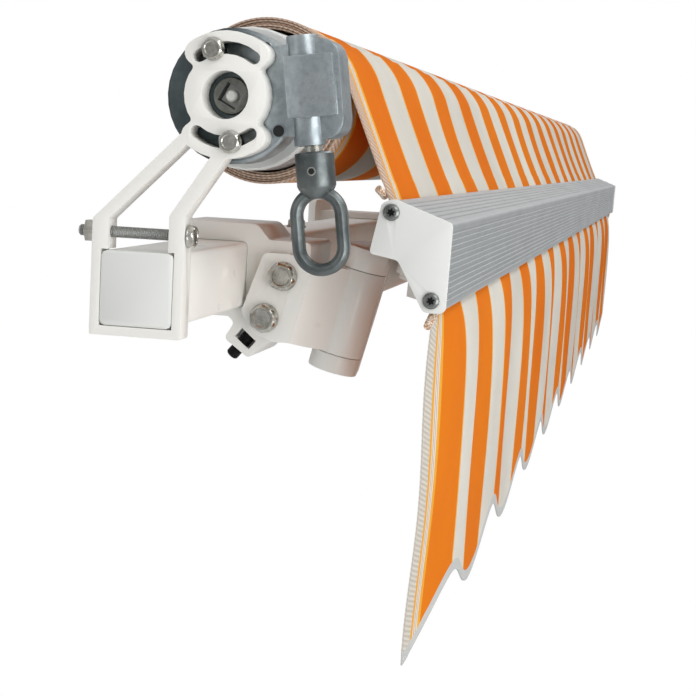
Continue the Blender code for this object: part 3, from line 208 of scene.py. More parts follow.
def powder_coat():
    made = Finish("powder_coat", linear(236, 235, 230), 0.34)
    cloud = made.noise(9, 4)
    tint = made.mix(made.span(cloud, 0.0, 0.35, 0.35, 0.75), linear(237, 236, 231), linear(229, 227, 221))
    specks = made.span(made.noise(620, 2), 0.0, 0.5, 0.72, 0.80)
    made.shade("Base Color", made.mix(specks, tint, linear(196, 192, 184)))
    made.shade("Roughness", made.span(made.noise(60, 3), 0.27, 0.42, 0.3, 0.7))
    made.shade("Coat Weight", 0.4)
    made.shade("Coat Roughness", 0.12)
    made.bump(made.noise(420, 2), 0.00012, 0.35)
    return made.mat


def moulded_white():
    made = Finish("moulded_white", linear(238, 238, 236), 0.42)
    cloud = made.span(made.noise(14, 3), 0.0, 0.3, 0.3, 0.7)
    tint = made.mix(cloud, linear(226, 227, 224), linear(216, 217, 214))
    made.shade("Base Color", tint)
    made.shade("Roughness", made.span(made.noise(90, 3), 0.36, 0.50, 0.3, 0.7))
    made.bump(made.noise(900, 2), 0.00006, 0.3)
    return made.mat


def cast(name, light, dark, low, high, grain):
    made = Finish(name, light, low, 0.92)
    cloud = made.noise(38, 6, roughness=0.65)
    fine = made.noise(grain, 4)
    base = made.mix(made.span(cloud, 0.0, 1.0, 0.30, 0.70), light, dark)
    made.shade("Base Color", made.mix(made.span(fine, 0.0, 0.35, 0.45, 0.75), base, dark))
    made.shade("Roughness", made.span(cloud, low, high, 0.3, 0.7))
    made.bump(fine, 0.00018, 0.35)
    return made.mat


def gearbox_finish():
    """Cast zinc that is bright to the front, with painted shade and dark reflection toward the wall, painted
    shade in its corners and joints and painted highlights on its edges.
    """
    made = Finish("gearbox_zinc", linear(176, 184, 188), 0.32, 0.92)
    cloud = made.noise(38, 6, roughness=0.65)
    fine = made.noise(330, 4)
    # The zinc comes as a lighter copy and a darker copy; the darker copy toward the wall is painted shade and
    # dark reflection.
    light = made.mix(made.span(cloud, 0.0, 1.0, 0.30, 0.70), linear(190, 198, 201), linear(136, 146, 151))
    dark = made.mix(made.span(cloud, 0.0, 1.0, 0.30, 0.70), linear(88, 98, 100), linear(70, 79, 81))
    painted_shade_side = made.span(made.axis(1), 0.0, 1.0, -0.0600, -0.0400)
    base = made.mix(painted_shade_side, light, dark)
    base = made.mix(made.span(fine, 0.0, 0.3, 0.45, 0.75), base, linear(96, 104, 108))
    # Painted highlight: outer edges mixed toward near white.
    base = made.mix(made.math("MULTIPLY", made.edges(0.0006), 0.7), base, linear(232, 236, 236))
    # Painted shade: corners and joints mixed toward near black by ambient occlusion.
    made.shade("Base Color", made.mix(made.corners(0.0035), base, linear(22, 24, 25)))
    made.shade("Roughness", made.span(cloud, 0.24, 0.46, 0.3, 0.7))
    made.bump(fine, 0.00018, 0.35)
    return made.mat


def worn_highlit_steel():
    """Dark cast steel whose edges are rubbed bright by wear and carry a painted highlight."""
    made = Finish("worn_highlit_dark_steel", linear(84, 90, 92), 0.36, 0.9)
    fine = made.noise(260, 5)
    # Outer edges turn bright in patches: partly wear, partly painted highlight.
    bright_edges = made.math("MULTIPLY", made.edges(0.0011), made.span(fine, 0.25, 1.0, 0.35, 0.60))
    cloud = made.span(made.noise(45, 5), 0.0, 1.0, 0.3, 0.7)
    base = made.mix(cloud, linear(124, 130, 130), linear(74, 80, 81))
    made.shade("Base Color", made.mix(bright_edges, base, linear(226, 229, 228)))
    made.shade("Roughness", made.span(fine, 0.26, 0.48, 0.3, 0.7))
    made.bump(fine, 0.00025, 0.45)
    return made.mat


def stainless():
    made = Finish("stainless_bolts", linear(176, 172, 160), 0.26, 1.0)
    cloud = made.noise(150, 4)
    tint = made.mix(made.span(cloud, 0.0, 1.0, 0.35, 0.65), linear(206, 205, 198), linear(160, 158, 150))
    # Painted highlight: outer edges mixed toward near white.
    bright_edges = made.mix(made.edges(0.0005), tint, linear(238, 238, 234))
    # Painted shade: corners mixed toward dark by ambient occlusion.
    made.shade("Base Color", made.mix(made.corners(0.0022), bright_edges, linear(40, 38, 34)))
    made.shade("Roughness", made.span(made.noise(500, 3), 0.16, 0.30, 0.3, 0.7))
    made.bump(made.noise(700, 3), 0.00006, 0.3)
    return made.mat


def threaded(name, color, direction, pitch):
    """Metal with a thread along the direction, as bands across it."""
    made = Finish(name, color, 0.34, 0.9)
    along = made.nodes.new("ShaderNodeVectorMath")
    along.operation = "DOT_PRODUCT"
    made.put(along.inputs[0], made.place)
    made.put(along.inputs[1], tuple(direction))
    depth = made.math("MULTIPLY", along.outputs["Value"], 2 * math.pi / pitch)
    made.bump(made.math("SINE", depth), 0.0006, 0.9)
    made.shade("Roughness", made.span(made.noise(300, 3), 0.28, 0.45, 0.3, 0.7))
    return made.mat


def extruded():
    """Mill aluminium with fine lines drawn along X and faint marks from handling."""
    made = Finish("mill_aluminium", linear(178, 182, 184), 0.34, 0.9)
    lines = made.noise(900, 3, (0.004, 1, 1))
    marks = made.noise(26, 5, (0.25, 1, 1), 0.7)
    tint = made.mix(made.span(marks, 0.0, 1.0, 0.35, 0.65), linear(216, 219, 220), linear(196, 200, 202))
    made.shade("Base Color", made.mix(made.span(lines, 0.0, 0.3, 0.4, 0.7), tint, linear(172, 176, 178)))
    made.shade("Roughness", made.span(marks, 0.30, 0.44, 0.3, 0.7))
    made.bump(lines, 0.00010, 0.35)
    return made.mat


def galvanised():
    made = Finish("galvanised_tube", linear(176, 180, 182), 0.4, 0.85)
    spangle = made.nodes.new("ShaderNodeTexVoronoi")
    made.put(spangle.inputs["Vector"], made.place)
    made.put(spangle.inputs["Scale"], 130)
    grain = made.axis(0, spangle.outputs["Color"])
    made.shade("Base Color", made.mix(grain, linear(160, 165, 168), linear(190, 194, 196)))
    made.shade("Roughness", made.span(grain, 0.30, 0.48))
    return made.mat


ORANGE = linear(234, 132, 10)
DEEP_ORANGE = linear(229, 120, 4)
YELLOW = linear(240, 178, 62)
CREAM = linear(231, 227, 218)
GREY_CREAM = linear(216, 211, 202)
TAN = linear(196, 142, 98)
HEM_TONE = linear(234, 218, 201)
STRIPE_START = 0.124
STRIPE_PERIOD = 0.152
HEM_WIDTH = STRIPE_START - CLOTH_START


def striped(name, hem_light, hem_hollow_shade, binding=False):
    """Woven awning cloth whose stripes, pinstripes and selvedge are fields of colour across X.

    The UV map holds the distance across the cloth and along it, in metres.
    """
    made = Finish(name, ORANGE, 0.85)
    uv = made.nodes.new("ShaderNodeUVMap").outputs[0]
    across = made.axis(0, uv)
    down = made.axis(1, uv)
    turn = made.math("FRACT", made.math("DIVIDE", made.math("SUBTRACT", across, STRIPE_START), STRIPE_PERIOD))
    cloud = made.noise(5, 4)
    orange = made.mix(made.span(cloud, 0.0, 1.0, 0.35, 0.65), ORANGE, DEEP_ORANGE)
    cream = made.mix(made.span(cloud, 0.0, 1.0, 0.35, 0.65), CREAM, GREY_CREAM)
    is_cream = made.bands(turn, [(0.0, (0, 0, 0, 1)), (0.480, (1, 1, 1, 1))])
    is_thin = made.bands(
        turn,
        [
            (0.0, (1, 1, 1, 1)),
            (0.014, (0, 0, 0, 1)),
            (0.464, (1, 1, 1, 1)),
            (0.482, (0, 0, 0, 1)),
            (0.986, (1, 1, 1, 1)),
        ],
    )
    field = made.mix(is_thin, made.mix(is_cream, orange, cream), YELLOW)
    from_edge = made.math("MINIMUM", across, made.math("SUBTRACT", LENGTH, across))
    step = made.math("DIVIDE", made.math("SUBTRACT", from_edge, CLOTH_START), HEM_WIDTH)
    pins = made.bands(
        step,
        [
            (0.0, CREAM),
            (0.50, YELLOW),
            (0.63, CREAM),
            (0.69, TAN),
            (0.72, CREAM),
            (0.79, TAN),
            (0.82, CREAM),
            (0.89, YELLOW),
        ],
    )
    # Braided selvedge: slanted ribs whose hollows are darkened with painted shade
    along = made.math("MULTIPLY", down, 2 * math.pi / 0.0030)
    slant = made.math("ADD", along, made.math("MULTIPLY", across, 900))
    weft = made.math("MULTIPLY", across, 2 * math.pi / 0.0042)
    ribs = made.math("MULTIPLY", made.math("SINE", slant), made.math("SINE", weft))
    ribs = made.span(ribs, 0.0, 1.0, -0.8, 0.8)
    braid = made.mix(ribs, hem_hollow_shade, hem_light)
    is_braid = made.bands(step, [(0.0, (1, 1, 1, 1)), (0.50, (0, 0, 0, 1))])
    hem = made.mix(is_braid, pins, braid)
    is_hem = made.math("LESS_THAN", from_edge, STRIPE_START)
    color = made.mix(is_hem, field, hem)
    if binding:
        edge = made.nodes.new("ShaderNodeAttribute")
        edge.attribute_name = "edge"
        is_bound = made.math("LESS_THAN", edge.outputs["Fac"], BINDING)
        color = made.mix(is_bound, color, linear(206, 207, 205))
    warp = made.math("SINE", made.math("MULTIPLY", across, 2 * math.pi / 0.0011))
    thread = made.math("SINE", made.math("MULTIPLY", down, 2 * math.pi / 0.0011))
    weave = made.math("MULTIPLY", warp, thread)
    shaded = made.mix(made.span(weave, 0.0, 0.22, -1.0, 1.0), color, color, "MULTIPLY")
    made.shade("Base Color", shaded)
    made.shade("Specular IOR Level", 0.15)
    height = made.mix(made.math("MULTIPLY", is_hem, is_braid), weave, made.math("MULTIPLY", ribs, 6.0))
    made.bump(height, 0.00012, 0.8)
    # A little light passes through the cloth
    through = made.nodes.new("ShaderNodeBsdfTranslucent")
    made.put(through.inputs["Color"], color)
    blend = made.nodes.new("ShaderNodeMixShader")
    blend.inputs[0].default_value = 0.16
    made.links.new(made.shader.outputs[0], blend.inputs[1])
    made.links.new(through.outputs[0], blend.inputs[2])
    made.links.new(blend.outputs[0], made.nodes["Material Output"].inputs["Surface"])
    return made.mat


def plain_dark(name, color, roughness, metallic):
    made = Finish(name, color, roughness, metallic)
    made.shade("Roughness", made.span(made.noise(400, 3), roughness * 0.8, roughness * 1.25, 0.3, 0.7))
    made.bump(made.noise(600, 2), 0.00008, 0.3)
    return made.mat


white = powder_coat()
plastic = moulded_white()
zinc = cast("cast_zinc", linear(176, 184, 188), linear(128, 137, 142), 0.26, 0.46, 330)
gear_zinc = gearbox_finish()
hub_zinc = cast("turned_zinc", linear(150, 150, 144), linear(84, 86, 84), 0.24, 0.42, 500)
eye_steel = worn_highlit_steel()
bolt_metal = stainless()
rod_metal = threaded("threaded_rod", linear(182, 184, 182), (0, 1, 0), 0.001)
aluminium = extruded()
tube_metal = galvanised()
black = plain_dark("black_oxide", linear(128, 131, 129), 0.28, 0.9)
# Near black painted shade for the insides of sockets, holes and the crank pin's end.
hollow_shade = plain_dark("painted_hollow_shade", linear(20, 21, 22), 0.6, 0.2)
screw_turn = (0, -math.sin(PITCH_SCREW_LEAN), math.cos(PITCH_SCREW_LEAN))
black_thread = threaded("black_thread", linear(42, 43, 43), screw_turn, 0.00125)
# Each cloth's second colour is painted shade for the hollows of its braided selvedge.
canopy = striped("striped_canopy", HEM_TONE, linear(178, 132, 104))
valance_cloth = striped("striped_valance", linear(232, 228, 219), linear(196, 186, 174), binding=True)


FINISHES = {
    "powder_coat": white,
    "white_plastic": plastic,
    "cast_zinc": zinc,
    "dark_steel": eye_steel,
    "bolt_steel": bolt_metal,
    "black_steel": black,
    "aluminium": aluminium,
    "galvanised_steel": tube_metal,
    "striped_cloth": canopy,
}
BY_NODE = {
    "bolt_steel": ("bolt", "nut", "pin_near", "pin_far", "lock_screw", "worm_shaft"),
    "black_steel": ("pitch_screw", "eye_pin"),
    "cast_zinc": ("gearbox_housing", "idler_housing", "drive_hub"),
    "dark_steel": ("crank_eye",),
    "white_plastic": ("bar_end_cap", "front_cap", "roller_plug"),
    "aluminium": ("front_bar",),
    "galvanised_steel": ("roller_tube",),
    "striped_cloth": ("canopy_roll", "canopy_flap", "valance"),
}


def slot_of(name):
    for slot, starts in BY_NODE.items():
        if any(start in name for start in starts):
            return slot
    return "powder_coat"


def dress_solids():
    """Gives every CAD node its finish and sharp edges where it has them, and the white, plastic and zinc
    nodes a fine edge radius.
    """
    for name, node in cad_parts.items():
        slot = slot_of(name)
        node.data.materials.clear()
        node.data.materials.append(FINISHES[slot])
        if "custom_normal" in node.data.attributes:
            node.data.attributes.remove(node.data.attributes["custom_normal"])
        weld = node.modifiers.new("weld", "WELD")
        weld.merge_threshold = 0.000002
        if slot in ("powder_coat", "white_plastic", "cast_zinc"):
            edge = node.modifiers.new("edge", "BEVEL")
            edge.width = 0.00035
            edge.segments = 2
            edge.limit_method = "ANGLE"
            edge.angle_limit = math.radians(42)
            edge.use_clamp_overlap = True
        smooth = node.modifiers.new("smooth", "NODES")
        smooth.node_group = smooth_group()


def smooth_group():
    """Node group that shades a mesh smooth up to 38 degrees."""
    name = "shade_by_angle"
    if name in bpy.data.node_groups:
        return bpy.data.node_groups[name]
    group = bpy.data.node_groups.new(name, "GeometryNodeTree")
    group.interface.new_socket("Geometry", in_out="INPUT", socket_type="NodeSocketGeometry")
    group.interface.new_socket("Geometry", in_out="OUTPUT", socket_type="NodeSocketGeometry")
    start = group.nodes.new("NodeGroupInput")
    end = group.nodes.new("NodeGroupOutput")
    angle = group.nodes.new("GeometryNodeInputMeshEdgeAngle")
    below = group.nodes.new("FunctionNodeCompare")
    below.data_type = "FLOAT"
    below.operation = "LESS_THAN"
    below.inputs[1].default_value = math.radians(38)
    faces = group.nodes.new("GeometryNodeSetShadeSmooth")
    faces.domain = "FACE"
    lines = group.nodes.new("GeometryNodeSetShadeSmooth")
    lines.domain = "EDGE"
    group.links.new(start.outputs[0], faces.inputs["Geometry"])
    group.links.new(angle.outputs["Unsigned Angle"], below.inputs[0])
    group.links.new(faces.outputs[0], lines.inputs["Geometry"])
    group.links.new(below.outputs[0], lines.inputs["Shade Smooth"])
    group.links.new(lines.outputs[0], end.inputs[0])
    return group


def add_mesh(name, verts, faces, finish, body, place=None, stands_for=(), sharp=35):
    mesh = bpy.data.meshes.new(name)
    mesh.from_pydata([tuple(v) for v in verts], [], faces)
    bm = bmesh.new()
    bm.from_mesh(mesh)
    bmesh.ops.recalc_face_normals(bm, faces=bm.faces[:])
    bm.to_mesh(mesh)
    bm.free()
    if place is not None:
        mesh.transform(place)
    if mesh.polygons and finish is not None:
        mesh.materials.append(finish)
    mesh.shade_smooth()
    mesh.set_sharp_from_angle(angle=math.radians(sharp))
    made = bpy.data.objects.new(name, mesh)
    bpy.context.scene.collection.objects.link(made)
    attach(made, body)
    if stands_for:
        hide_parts(*stands_for)
    return made


def loft(rings, closed_ends=True):
    """Vertices and faces through rings of equal length."""
    verts = [point for ring in rings for point in ring]
    count = len(rings[0])
    faces = []
    for row in range(len(rings) - 1):
        for i in range(count):
            j = (i + 1) % count
            a, b = row * count, (row + 1) * count
            faces.append((a + i, a + j, b + j, b + i))
    if closed_ends:
        faces.append(tuple(range(count))[::-1])
        last = (len(rings) - 1) * count
        faces.append(tuple(range(last, last + count)))
    return verts, faces


def ring_of(radius, depth, sides=48, shape=None):
    points = []
    for k in range(sides):
        angle = 2 * math.pi * k / sides
        reach = radius * (shape(angle) if shape else 1.0)
        points.append((reach * math.cos(angle), reach * math.sin(angle), depth))
    return points


def six_flats(angle):
    """Reach of a hexagon with slightly rounded corners, 1 at the middle of a flat."""
    off = (angle % (math.pi / 3)) - math.pi / 6
    return min(1 / math.cos(off), 1.115)


def six_lobes(angle):
    return 0.80 + 0.20 * math.cos(6 * angle)


def aimed(place, direction, spin=0.0):
    """Matrix that puts local Z along the direction at the place."""
    turn = Vector(direction).to_track_quat("Z", "Y").to_matrix().to_4x4()
    return Matrix.Translation(place) @ turn @ Matrix.Rotation(spin, 4, "Z")


def flange_bolt(node, body, place, direction, shank, length, head, height, spin=0.0):
    """Hexagon bolt with a turned flange, a chamfered head and a shallow dish in its top."""
    washer = head * 1.12
    flange = head * 0.20
    rings = [
        ring_of(head * 0.30, -height + head * 0.10),
        ring_of(head * 0.62, -height + head * 0.08),
        ring_of(head * 0.70, -height),
        ring_of(head * 0.86, -height),
        ring_of(head * 0.97, -height + head * 0.10, shape=lambda a: 0.55 + 0.45 * six_flats(a)),
        ring_of(head * 0.99, -height + head * 0.22, shape=six_flats),
        ring_of(head * 0.99, -flange * 1.6, shape=six_flats),
        ring_of(washer * 0.97, -flange * 0.9),
        ring_of(washer, -flange * 0.6),
        ring_of(washer, -0.0001),
        ring_of(washer * 0.98, 0),
        ring_of(shank, 0),
        ring_of(shank, length - 0.0008),
        ring_of(shank - 0.0007, length),
    ]
    verts, faces = loft(rings)
    finish = rod_metal if length == CLAMP_LENGTH else bolt_metal
    turn = aimed(place, direction, spin)
    made = add_mesh(node + "_fine", verts, faces, finish, body, turn, [node], 30)
    if finish is rod_metal:
        made.data.materials.append(bolt_metal)
        for face in made.data.polygons:
            face.material_index = 0 if (face.center - Vector(place)).dot(Vector(direction)) > 0.001 else 1
    return made


def star_screw(name, side, start, spot):
    """Pan head screw with a six lobed socket, on the front bar's cap."""
    place = Vector((start + side * CAP_FACE, *spot))
    rings = [
        ring_of(0.0022, 0.0001),
        ring_of(0.0046, 0.0001),
        ring_of(0.0048, 0.0005),
        ring_of(0.0046, 0.0013),
        ring_of(0.0038, 0.0021),
        ring_of(0.0028, 0.0024),
        ring_of(0.0024, 0.0024, shape=six_lobes),
        ring_of(0.0022, 0.0005, shape=six_lobes),
    ]
    verts, faces = loft(rings)
    turn = aimed(place, (-side, 0, 0), 0.3)
    made = add_mesh(name, verts, faces, black, "front_bar", turn, (), 30)
    # The socket's inner faces take the near black painted shade.
    made.data.materials.append(hollow_shade)
    for face in made.data.polygons:
        middle = face.center - place
        face.material_index = 1 if middle.yz.length < 0.0021 and abs(middle.x) < 0.0022 else 0


def crank_parts():
    """Oval eye swept with a chamfered section, its collar and the pin's end."""
    turn = Matrix.Translation(WORM) @ Matrix.Rotation(-WORM_TILT, 4, "X")
    half_width = EYE_HALF_WIDTH - EYE_BAND
    top, bottom = EYE_TOP - EYE_BAND - 0.0002, EYE_BOTTOM + EYE_BAND
    straight = (top - bottom) / 2 - half_width
    middle = (top + bottom) / 2
    section = [
        (EYE_BAND, 0.0022),
        (EYE_BAND, -0.0022),
        (0.0012, -0.0045),
        (-0.0010, -0.0045),
        (-EYE_BAND, -0.0020),
        (-EYE_BAND, 0.0020),
        (-0.0010, 0.0045),
        (0.0012, 0.0045),
    ]
    fine = []
    for i, corner in enumerate(section):
        here, after, before = Vector(corner), Vector(section[(i + 1) % len(section)]), Vector(section[i - 1])
        fine.append(here.lerp(before, 0.16))
        fine.append((here + here.lerp(before, 0.16) + here.lerp(after, 0.16)) / 3)
        fine.append(here.lerp(after, 0.16))
    path = []
    steps = 24
    for centre, first in ((straight, 0.0), (-straight, math.pi)):
        for k in range(steps + 1):
            angle = first + math.pi * k / steps
            path.append((Vector((0, math.cos(angle), math.sin(angle))), centre))
    rings = []
    for out, centre in path:
        rings.append([Vector((v, 0, centre + middle)) + out * (half_width + u) for u, v in fine])
    verts, faces = loft(rings, closed_ends=False)
    last = (len(rings) - 1) * len(fine)
    for i in range(len(fine)):
        j = (i + 1) % len(fine)
        faces.append((last + i, last + j, j, i))
    add_mesh("crank_eye_oval", verts, faces, eye_steel, "crank", turn, ["crank_eye"], 28)
    profile = [
        (-0.0570, 0.0052),
        (-0.0548, 0.0078),
        (-0.0515, 0.0098),
        (-0.0500, 0.0104),
        (-0.0334, 0.0104),
        (-0.0327, 0.0100),
        (-0.0325, 0.0092),
        (-0.0325, 0.0044),
        (-0.0400, 0.0042),
    ]
    verts, faces = loft([ring_of(radius, depth, 56) for depth, radius in profile])
    add_mesh("crank_collar", verts, faces, eye_steel, "crank", turn, (), 28)
    pin = turn @ Matrix.Translation(PIN_PLACE) @ Matrix.Rotation(-math.pi / 2, 4, "Y")
    rings = [ring_of(0.0023, -0.0002, 24), ring_of(0.0023, 0.0002, 24), ring_of(0.0017, 0.0002, 24)]
    rings += [ring_of(0.0016, -0.0002, 24), ring_of(0.0006, -0.0003, 24)]
    verts, faces = loft(rings)
    add_mesh("pin_hole_rim", verts, faces, bolt_metal, "crank", pin, ())
    # The pin's end is a near black disc of painted shade inside its rim.
    rings = [ring_of(0.0014, 0.0000, 24), ring_of(0.0014, 0.0003, 24), ring_of(0.0007, 0.0003, 24)]
    verts, faces = loft(rings)
    add_mesh("eye_pin_end", verts, faces, hollow_shade, "crank", pin, ["eye_pin"])


def gearbox_details():
    """Blind holes in the gearbox's face, drawn as near black discs of painted shade, each with a fine rim."""
    for index, (y, z, radius) in enumerate(GEARBOX_HOLES):
        rings = [
            ring_of(radius + 0.0006, 0.0001, 36),
            ring_of(radius + 0.0005, 0.0004, 36),
            ring_of(radius, 0.0004, 36),
            ring_of(radius - 0.0001, 0.0001, 36),
        ]
        verts, faces = loft(rings, closed_ends=False)
        place = aimed(Vector((GEARBOX_FACE, y, z)), (-1, 0, 0))
        add_mesh("gearbox_hole_rim_%d" % index, verts, faces, zinc, "frame", place, ())
        # Near black disc of painted shade where the hole is.
        verts, faces = loft([ring_of(radius, 0.0000, 36), ring_of(radius, 0.00015, 36)])
        add_mesh("gearbox_hole_%d" % index, verts, faces, hollow_shade, "frame", place, ())


def spaced(low, high, step):
    count = max(1, round((high - low) / step))
    return [low + (high - low) * k / count for k in range(count + 1)]


def cloth_columns(step):
    """Places across the cloth, close together along its two selvedges."""
    hem = [0, 0.0006, 0.0020, 0.0060, 0.0105, 0.0135, 0.0150, 0.0180]
    inner = spaced(STRIPE_START, LENGTH - STRIPE_START, step)
    return [CLOTH_START + h for h in hem] + inner + [LENGTH - CLOTH_START - h for h in hem[::-1]]


def hem_rise(x):
    """Extra thickness of the braided selvedge, which is rounded at its outer edge."""
    into = min(x, LENGTH - x) - CLOTH_START
    if into > 0.0165:
        return 0.0
    return 0.00022 * min(1.0, (0.0165 - into) / 0.002) * min(1.0, 0.35 + into / 0.002)


def cloth_mesh(name, columns, rows, front, finish, body, stands_for, edge=None):
    """Thin closed mesh of cloth. front(x, row) gives a point, a unit normal and the length so far."""
    width = len(rows)
    points = [[], []]
    uvs = []
    for x in columns:
        for row in rows:
            point, normal, length = front(x, row)
            thick = CLOTH + hem_rise(x)
            points[0].append(point + normal * (thick - CLOTH / 2))
            points[1].append(point - normal * CLOTH / 2)
            uvs.append((x, length))
    count = len(points[0])
    faces = []
    for i in range(len(columns) - 1):
        for j in range(width - 1):
            a, b = i * width + j, (i + 1) * width + j
            faces.append((a, a + 1, b + 1, b))
            faces.append((count + a, count + b, count + b + 1, count + a + 1))
    for i in range(len(columns) - 1):
        for j in (0, width - 1):
            a, b = i * width + j, (i + 1) * width + j
            faces.append((a, b, count + b, count + a))
    for i in (0, len(columns) - 1):
        for j in range(width - 1):
            a = i * width + j
            faces.append((a, a + 1, count + a + 1, count + a))
    made = add_mesh(name, points[0] + points[1], faces, finish, body, None, stands_for, 60)
    layer = made.data.uv_layers.new(name="cloth")
    for loop in made.data.loops:
        layer.data[loop.index].uv = uvs[loop.vertex_index % count]
    if edge is not None:
        values = np.array([edge(x, row) for x in columns for row in rows] * 2, np.float32)
        made.data.attributes.new("edge", "FLOAT", "POINT").data.foreach_set("value", values)
    return made


def roll_point(x, turns):
    """Point on the wound cloth. Each turn's selvedge stands a little proud of the last or short of it."""
    angle = TURN_END - 2 * math.pi * (TURNS - turns)
    ray = Vector((0, math.cos(angle), math.sin(angle)))
    radius = ROLL_START + TURN_PITCH * turns + CLOTH / 2
    into = min(x, LENGTH - x) - CLOTH_START
    wander = 0.0011 * math.sin(2.3 * turns + 0.7) + 0.0005 * math.sin(5.1 * turns)
    stray = wander * max(0.0, 1 - into / 0.03)
    side = 1 if x < LENGTH / 2 else -1
    point = Vector((x + side * stray, ROLLER.y, ROLLER.z)) + ray * radius
    length = turns * 2 * math.pi * (ROLL_START + TURN_PITCH * turns / 2)
    return point, ray, length


def canopy_roll():
    steps = TURNS * 84
    rows = [TURNS * k / steps for k in range(steps + 1)]
    columns = cloth_columns(0.55)
    cloth_mesh("wound_canopy", columns, rows, roll_point, canopy, "roller", ["canopy_roll"])


def flap_path():
    """Middle of the cloth from the roll to the front bar: points, normals and lengths."""
    reach = ROLL_START + TURN_PITCH * TURNS + CLOTH + GAP + CLOTH / 2
    edge = (BAR_REAR - BAR_TOP).normalized()
    seat = (BAR_TOP + BAR_REAR) / 2 + Vector((-edge.y, edge.x)) * GAP
    away = seat - ROLLER.yz
    tangent = math.atan2(away.y, away.x) % (2 * math.pi) - math.acos(reach / away.length)
    points = []
    for k in range(17):
        angle = TURN_END + (tangent - TURN_END) * k / 16
        points.append(ROLLER.yz + reach * Vector((math.cos(angle), math.sin(angle))))
    leave = points[-1]
    run = seat - leave
    sag = Vector((-run.y, run.x)).normalized() * 0.0015
    for k in range(1, 33):
        share = k / 32
        points.append(leave + run * share + sag * math.sin(math.pi * share))
    normals, lengths = [], [0.0]
    for i, point in enumerate(points):
        step = points[min(i + 1, len(points) - 1)] - points[max(i - 1, 0)]
        normal = Vector((step.y, -step.x)).normalized()
        if normal.dot(point - ROLLER.yz) < 0:
            normal = -normal
        normals.append(normal)
        if i:
            lengths.append(lengths[-1] + (point - points[i - 1]).length)
    return points, normals, lengths


FLAP = flap_path()


def flap_point(x, row):
    """Point of the flap, with a faint slack between its selvedges."""
    points, normals, lengths = FLAP
    point, normal = points[row], normals[row]
    free = max(0.0, (row - 16) / 32)
    slack = 0.0007 * math.sin(math.pi * free) * (math.sin(9.1 * x + 0.4) + 0.5 * math.sin(23.0 * x))
    seam = 0.00025 if lengths[-1] - lengths[row] < 0.0115 else 0.0
    moved = point + normal * (slack + 0.0007 * math.sin(math.pi * free) + seam)
    return Vector((x, *moved)), Vector((0, *normal)), lengths[row]


def canopy_flap():
    rows = list(range(len(FLAP[0])))
    columns = cloth_columns(0.016)
    made = cloth_mesh("stretched_canopy", columns, rows, flap_point, canopy, "front_bar", ["canopy_flap"])


def valance_depth(x):
    phase = 2 * math.pi * SCALLOPS * (x - CLOTH_START) / (LENGTH - 2 * CLOTH_START)
    return VALANCE_DROP + SCALLOP_DEPTH * math.cos(phase), phase


def valance_middle(x, drop):
    depth, phase = valance_depth(x)
    start = min(x, LENGTH - x) - CLOTH_START
    lean = 0.0030 + 0.0032 * math.exp(-((start / 0.09) ** 2))
    fall = 1 - math.exp(-drop / 0.11)
    inner = 1 - math.exp(-((start / 0.060) ** 2))
    bulge = inner * (0.84 - 0.16 * math.cos(phase + 0.35 * math.sin(2.7 * x)))
    ripple = 0.0010 * math.sin(math.pi * drop) * math.sin(2 * phase + 1.7 + 2.0 * drop)
    ripple += 0.0011 * math.sin(2 * math.pi * 1.4 * drop) * math.exp(-start / 0.03)
    y = -0.1465 + lean * drop ** 1.5 - BULGE * fall * bulge + ripple
    return Vector((x, y, VALANCE_TOP - depth * drop))


def valance_point(x, drop):
    here = valance_middle(x, drop)
    reach = 0.002
    across = valance_middle(x + reach, drop) - valance_middle(x - reach, drop)
    down = valance_middle(x, min(drop + 0.01, 1.0)) - valance_middle(x, max(drop - 0.01, 0.0))
    normal = down.cross(across).normalized()
    if normal.y > 0:
        normal = -normal
    depth = valance_depth(x)[0]
    bound = 0.00018 if (1 - drop) * depth < BINDING else 0.0
    return here + normal * bound, normal, drop * depth


def valance():
    columns = cloth_columns(0.0046)
    rows = [k / 34 for k in range(33)] + [0.9612, 0.9630, 0.98, 0.997, 1.0]
    made = cloth_mesh(
        "scalloped_valance",
        columns,
        rows,
        valance_point,
        valance_cloth,
        "front_bar",
        ["valance"],
        edge=lambda x, drop: (1 - drop) * valance_depth(x)[0],
    )


def rolled_end(name, start, stop, radius, turns):
    """End of the cloth's rolled edge, which stands out of the front bar's groove, as a ribbed stub."""
    start, stop = Vector(start), Vector(stop)
    run = stop - start
    rings = []
    steps = 30
    for k in range(steps + 1):
        share = k / steps
        swell = 1 + 0.07 * math.sin(2 * math.pi * turns * share)
        rings.append(ring_of(radius * swell, run.length * share, 28))
    rings.append(ring_of(radius * 0.8, run.length + 0.0004, 28))
    rings.append(ring_of(radius * 0.45, run.length + 0.0001, 28))
    verts, faces = loft(rings)
    add_mesh(name, verts, faces, rope_cloth, "front_bar", aimed(start, run), ())


def rope():
    made = Finish("rolled_edge_cloth", HEM_TONE, 0.85)
    dots = made.noise(900, 2)
    share = made.span(dots, 0.0, 1.0, 0.4, 0.6)
    made.shade("Base Color", made.mix(share, linear(232, 222, 206), linear(176, 128, 92)))
    made.bump(dots, 0.0003, 0.6)
    return made.mat


rope_cloth = rope()


def shoulder_point(side, start, x, d, n):
    """World place of a point in a shoulder's tilted frame."""
    turned = Matrix.Rotation(ARM_PITCH, 3, "X") @ Vector((x, d, n))
    return Vector((start + side * (SHOULDER.x + turned.x), SHOULDER.y + turned.y, SHOULDER.z + turned.z))


